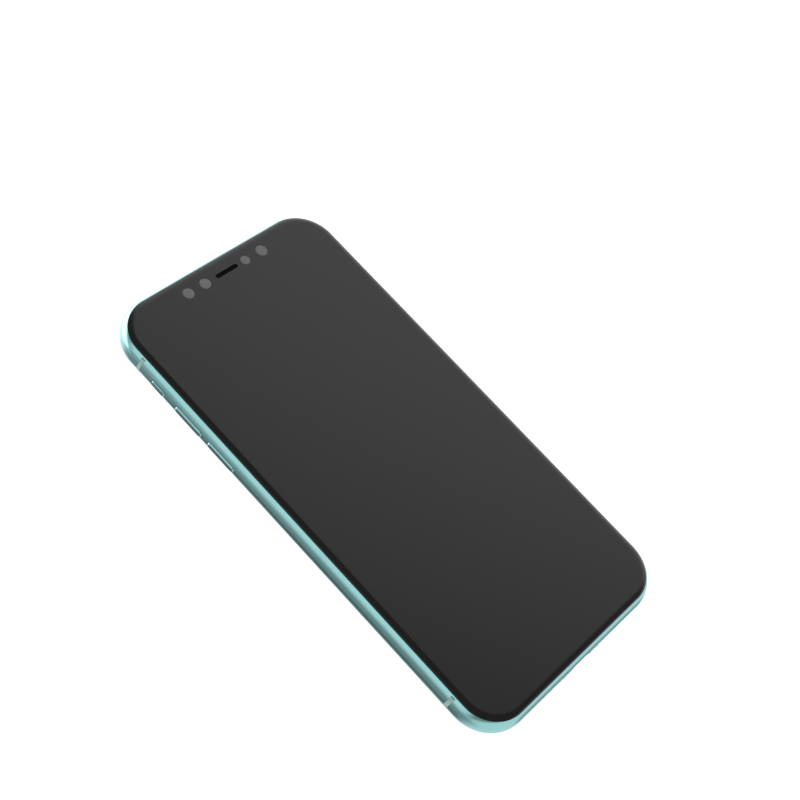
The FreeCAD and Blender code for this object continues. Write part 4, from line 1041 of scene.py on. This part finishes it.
def make_world():
    """Soft glows light the object, in front of a plain pale backdrop."""
    world = bpy.data.worlds.new("studio")
    bpy.context.scene.world = world
    world.use_nodes = True
    tree = world.node_tree
    total = None
    for direction, outer, inner, light in GLOWS:
        glow = add_glow(tree, direction, outer, inner, light)
        add = tree.nodes.new("ShaderNodeVectorMath")
        add.operation = "ADD"
        if total is None:
            add.inputs[0].default_value = WORLD_LIGHT
        else:
            tree.links.new(total, add.inputs[0])
        tree.links.new(glow, add.inputs[1])
        total = add.outputs["Vector"]
    lights = tree.nodes["Background"]
    tree.links.new(total, lights.inputs["Color"])
    backdrop = tree.nodes.new("ShaderNodeBackground")
    backdrop.inputs["Color"].default_value = BACKDROP
    choice = tree.nodes.new("ShaderNodeMixShader")
    tree.links.new(seen_directly(tree), choice.inputs["Fac"])
    tree.links.new(lights.outputs["Background"], choice.inputs[1])
    tree.links.new(backdrop.outputs["Background"], choice.inputs[2])
    tree.links.new(choice.outputs["Shader"], tree.nodes["World Output"].inputs["Surface"])


def add_painted_floor_patch(tree, centre, inner, outer, brightness):
    """A soft round patch of painted shade or painted light on the floor. Returns the socket with the factor on the
    floor's white.
    """
    place = tree.nodes.new("ShaderNodeTexCoord")
    distance = tree.nodes.new("ShaderNodeVectorMath")
    distance.operation = "DISTANCE"
    distance.inputs[1].default_value = centre
    tree.links.new(place.outputs["Object"], distance.inputs[0])
    fade = tree.nodes.new("ShaderNodeMapRange")
    fade.interpolation_type = "SMOOTHSTEP"
    fade.inputs["From Min"].default_value = inner
    fade.inputs["From Max"].default_value = outer
    fade.inputs["To Min"].default_value = brightness
    tree.links.new(distance.outputs["Value"], fade.inputs["Value"])
    return fade.outputs["Result"]


def make_floor():
    """A plain pale floor. Its patches of painted shade and painted light are left out where the camera looks at
    it.
    """
    bm = bmesh.new()
    corners = ((-1, -1), (1, -1), (1, 1), (-1, 1))
    bm.faces.new([bm.verts.new((x * FLOOR_SIZE, y * FLOOR_SIZE, 0)) for x, y in corners])
    floor = bpy.data.objects.new("floor", mesh_from(bm, "floor"))
    floor.location.z = cad_low.z - FLOOR_DROP
    bpy.context.scene.collection.objects.link(floor)
    material, tree, shader = new_material("floor")
    total = FLOOR_WHITE
    # Painted shade and painted light: each patch darkens or brightens the floor's colour and glow
    for centre, inner, outer, brightness in PAINTED_FLOOR_PATCHES:
        painted_patch = add_painted_floor_patch(tree, centre, inner, outer, brightness)
        product = tree.nodes.new("ShaderNodeMath")
        product.operation = "MULTIPLY"
        tree.links.new(painted_patch, product.inputs[0])
        if total is FLOOR_WHITE:
            product.inputs[1].default_value = total
        else:
            tree.links.new(total, product.inputs[1])
        total = product.outputs["Value"]
    choice = tree.nodes.new("ShaderNodeMix")
    tree.links.new(seen_directly(tree), choice.inputs["Factor"])
    tree.links.new(total, choice.inputs["A"])
    choice.inputs["B"].default_value = FLOOR_SEEN
    total = choice.outputs["Result"]
    colour = tree.nodes.new("ShaderNodeMath")
    colour.operation = "MINIMUM"
    colour.inputs[1].default_value = FLOOR_WHITE
    tree.links.new(total, colour.inputs[0])
    tree.links.new(colour.outputs["Value"], shader.inputs["Base Color"])
    tree.links.new(total, shader.inputs["Emission Color"])
    shader.inputs["Emission Strength"].default_value = FLOOR_GLOW
    shader.inputs["Roughness"].default_value = FLOOR_ROUGHNESS
    floor.data.materials.append(material)


def make_stage():
    make_world()
    make_floor()
    bpy.context.scene.view_settings.view_transform = "Standard"


def make_camera_view():
    camera_data = bpy.data.cameras.new("camera")
    camera_data.lens = CAMERA_LENS
    camera_data.clip_start, camera_data.clip_end = CAMERA_CLIP
    camera = bpy.data.objects.new("camera", camera_data)
    bpy.context.scene.collection.objects.link(camera)
    azimuth = math.radians(CAMERA_AZIMUTH)
    elevation = math.radians(CAMERA_ELEVATION)
    back = Vector((
        math.sin(azimuth) * math.cos(elevation),
        -math.cos(azimuth) * math.cos(elevation),
        math.sin(elevation),
    ))
    camera.location = glass_centre() + CAMERA_AIM + back * CAMERA_DISTANCE
    camera.rotation_mode = "QUATERNION"
    camera.rotation_quaternion = (-back).to_track_quat("-Z", "Y")
    bpy.context.scene.camera = camera


make_camera_view()
finish_cad_nodes()
make_phone()
make_mount()
make_stage()
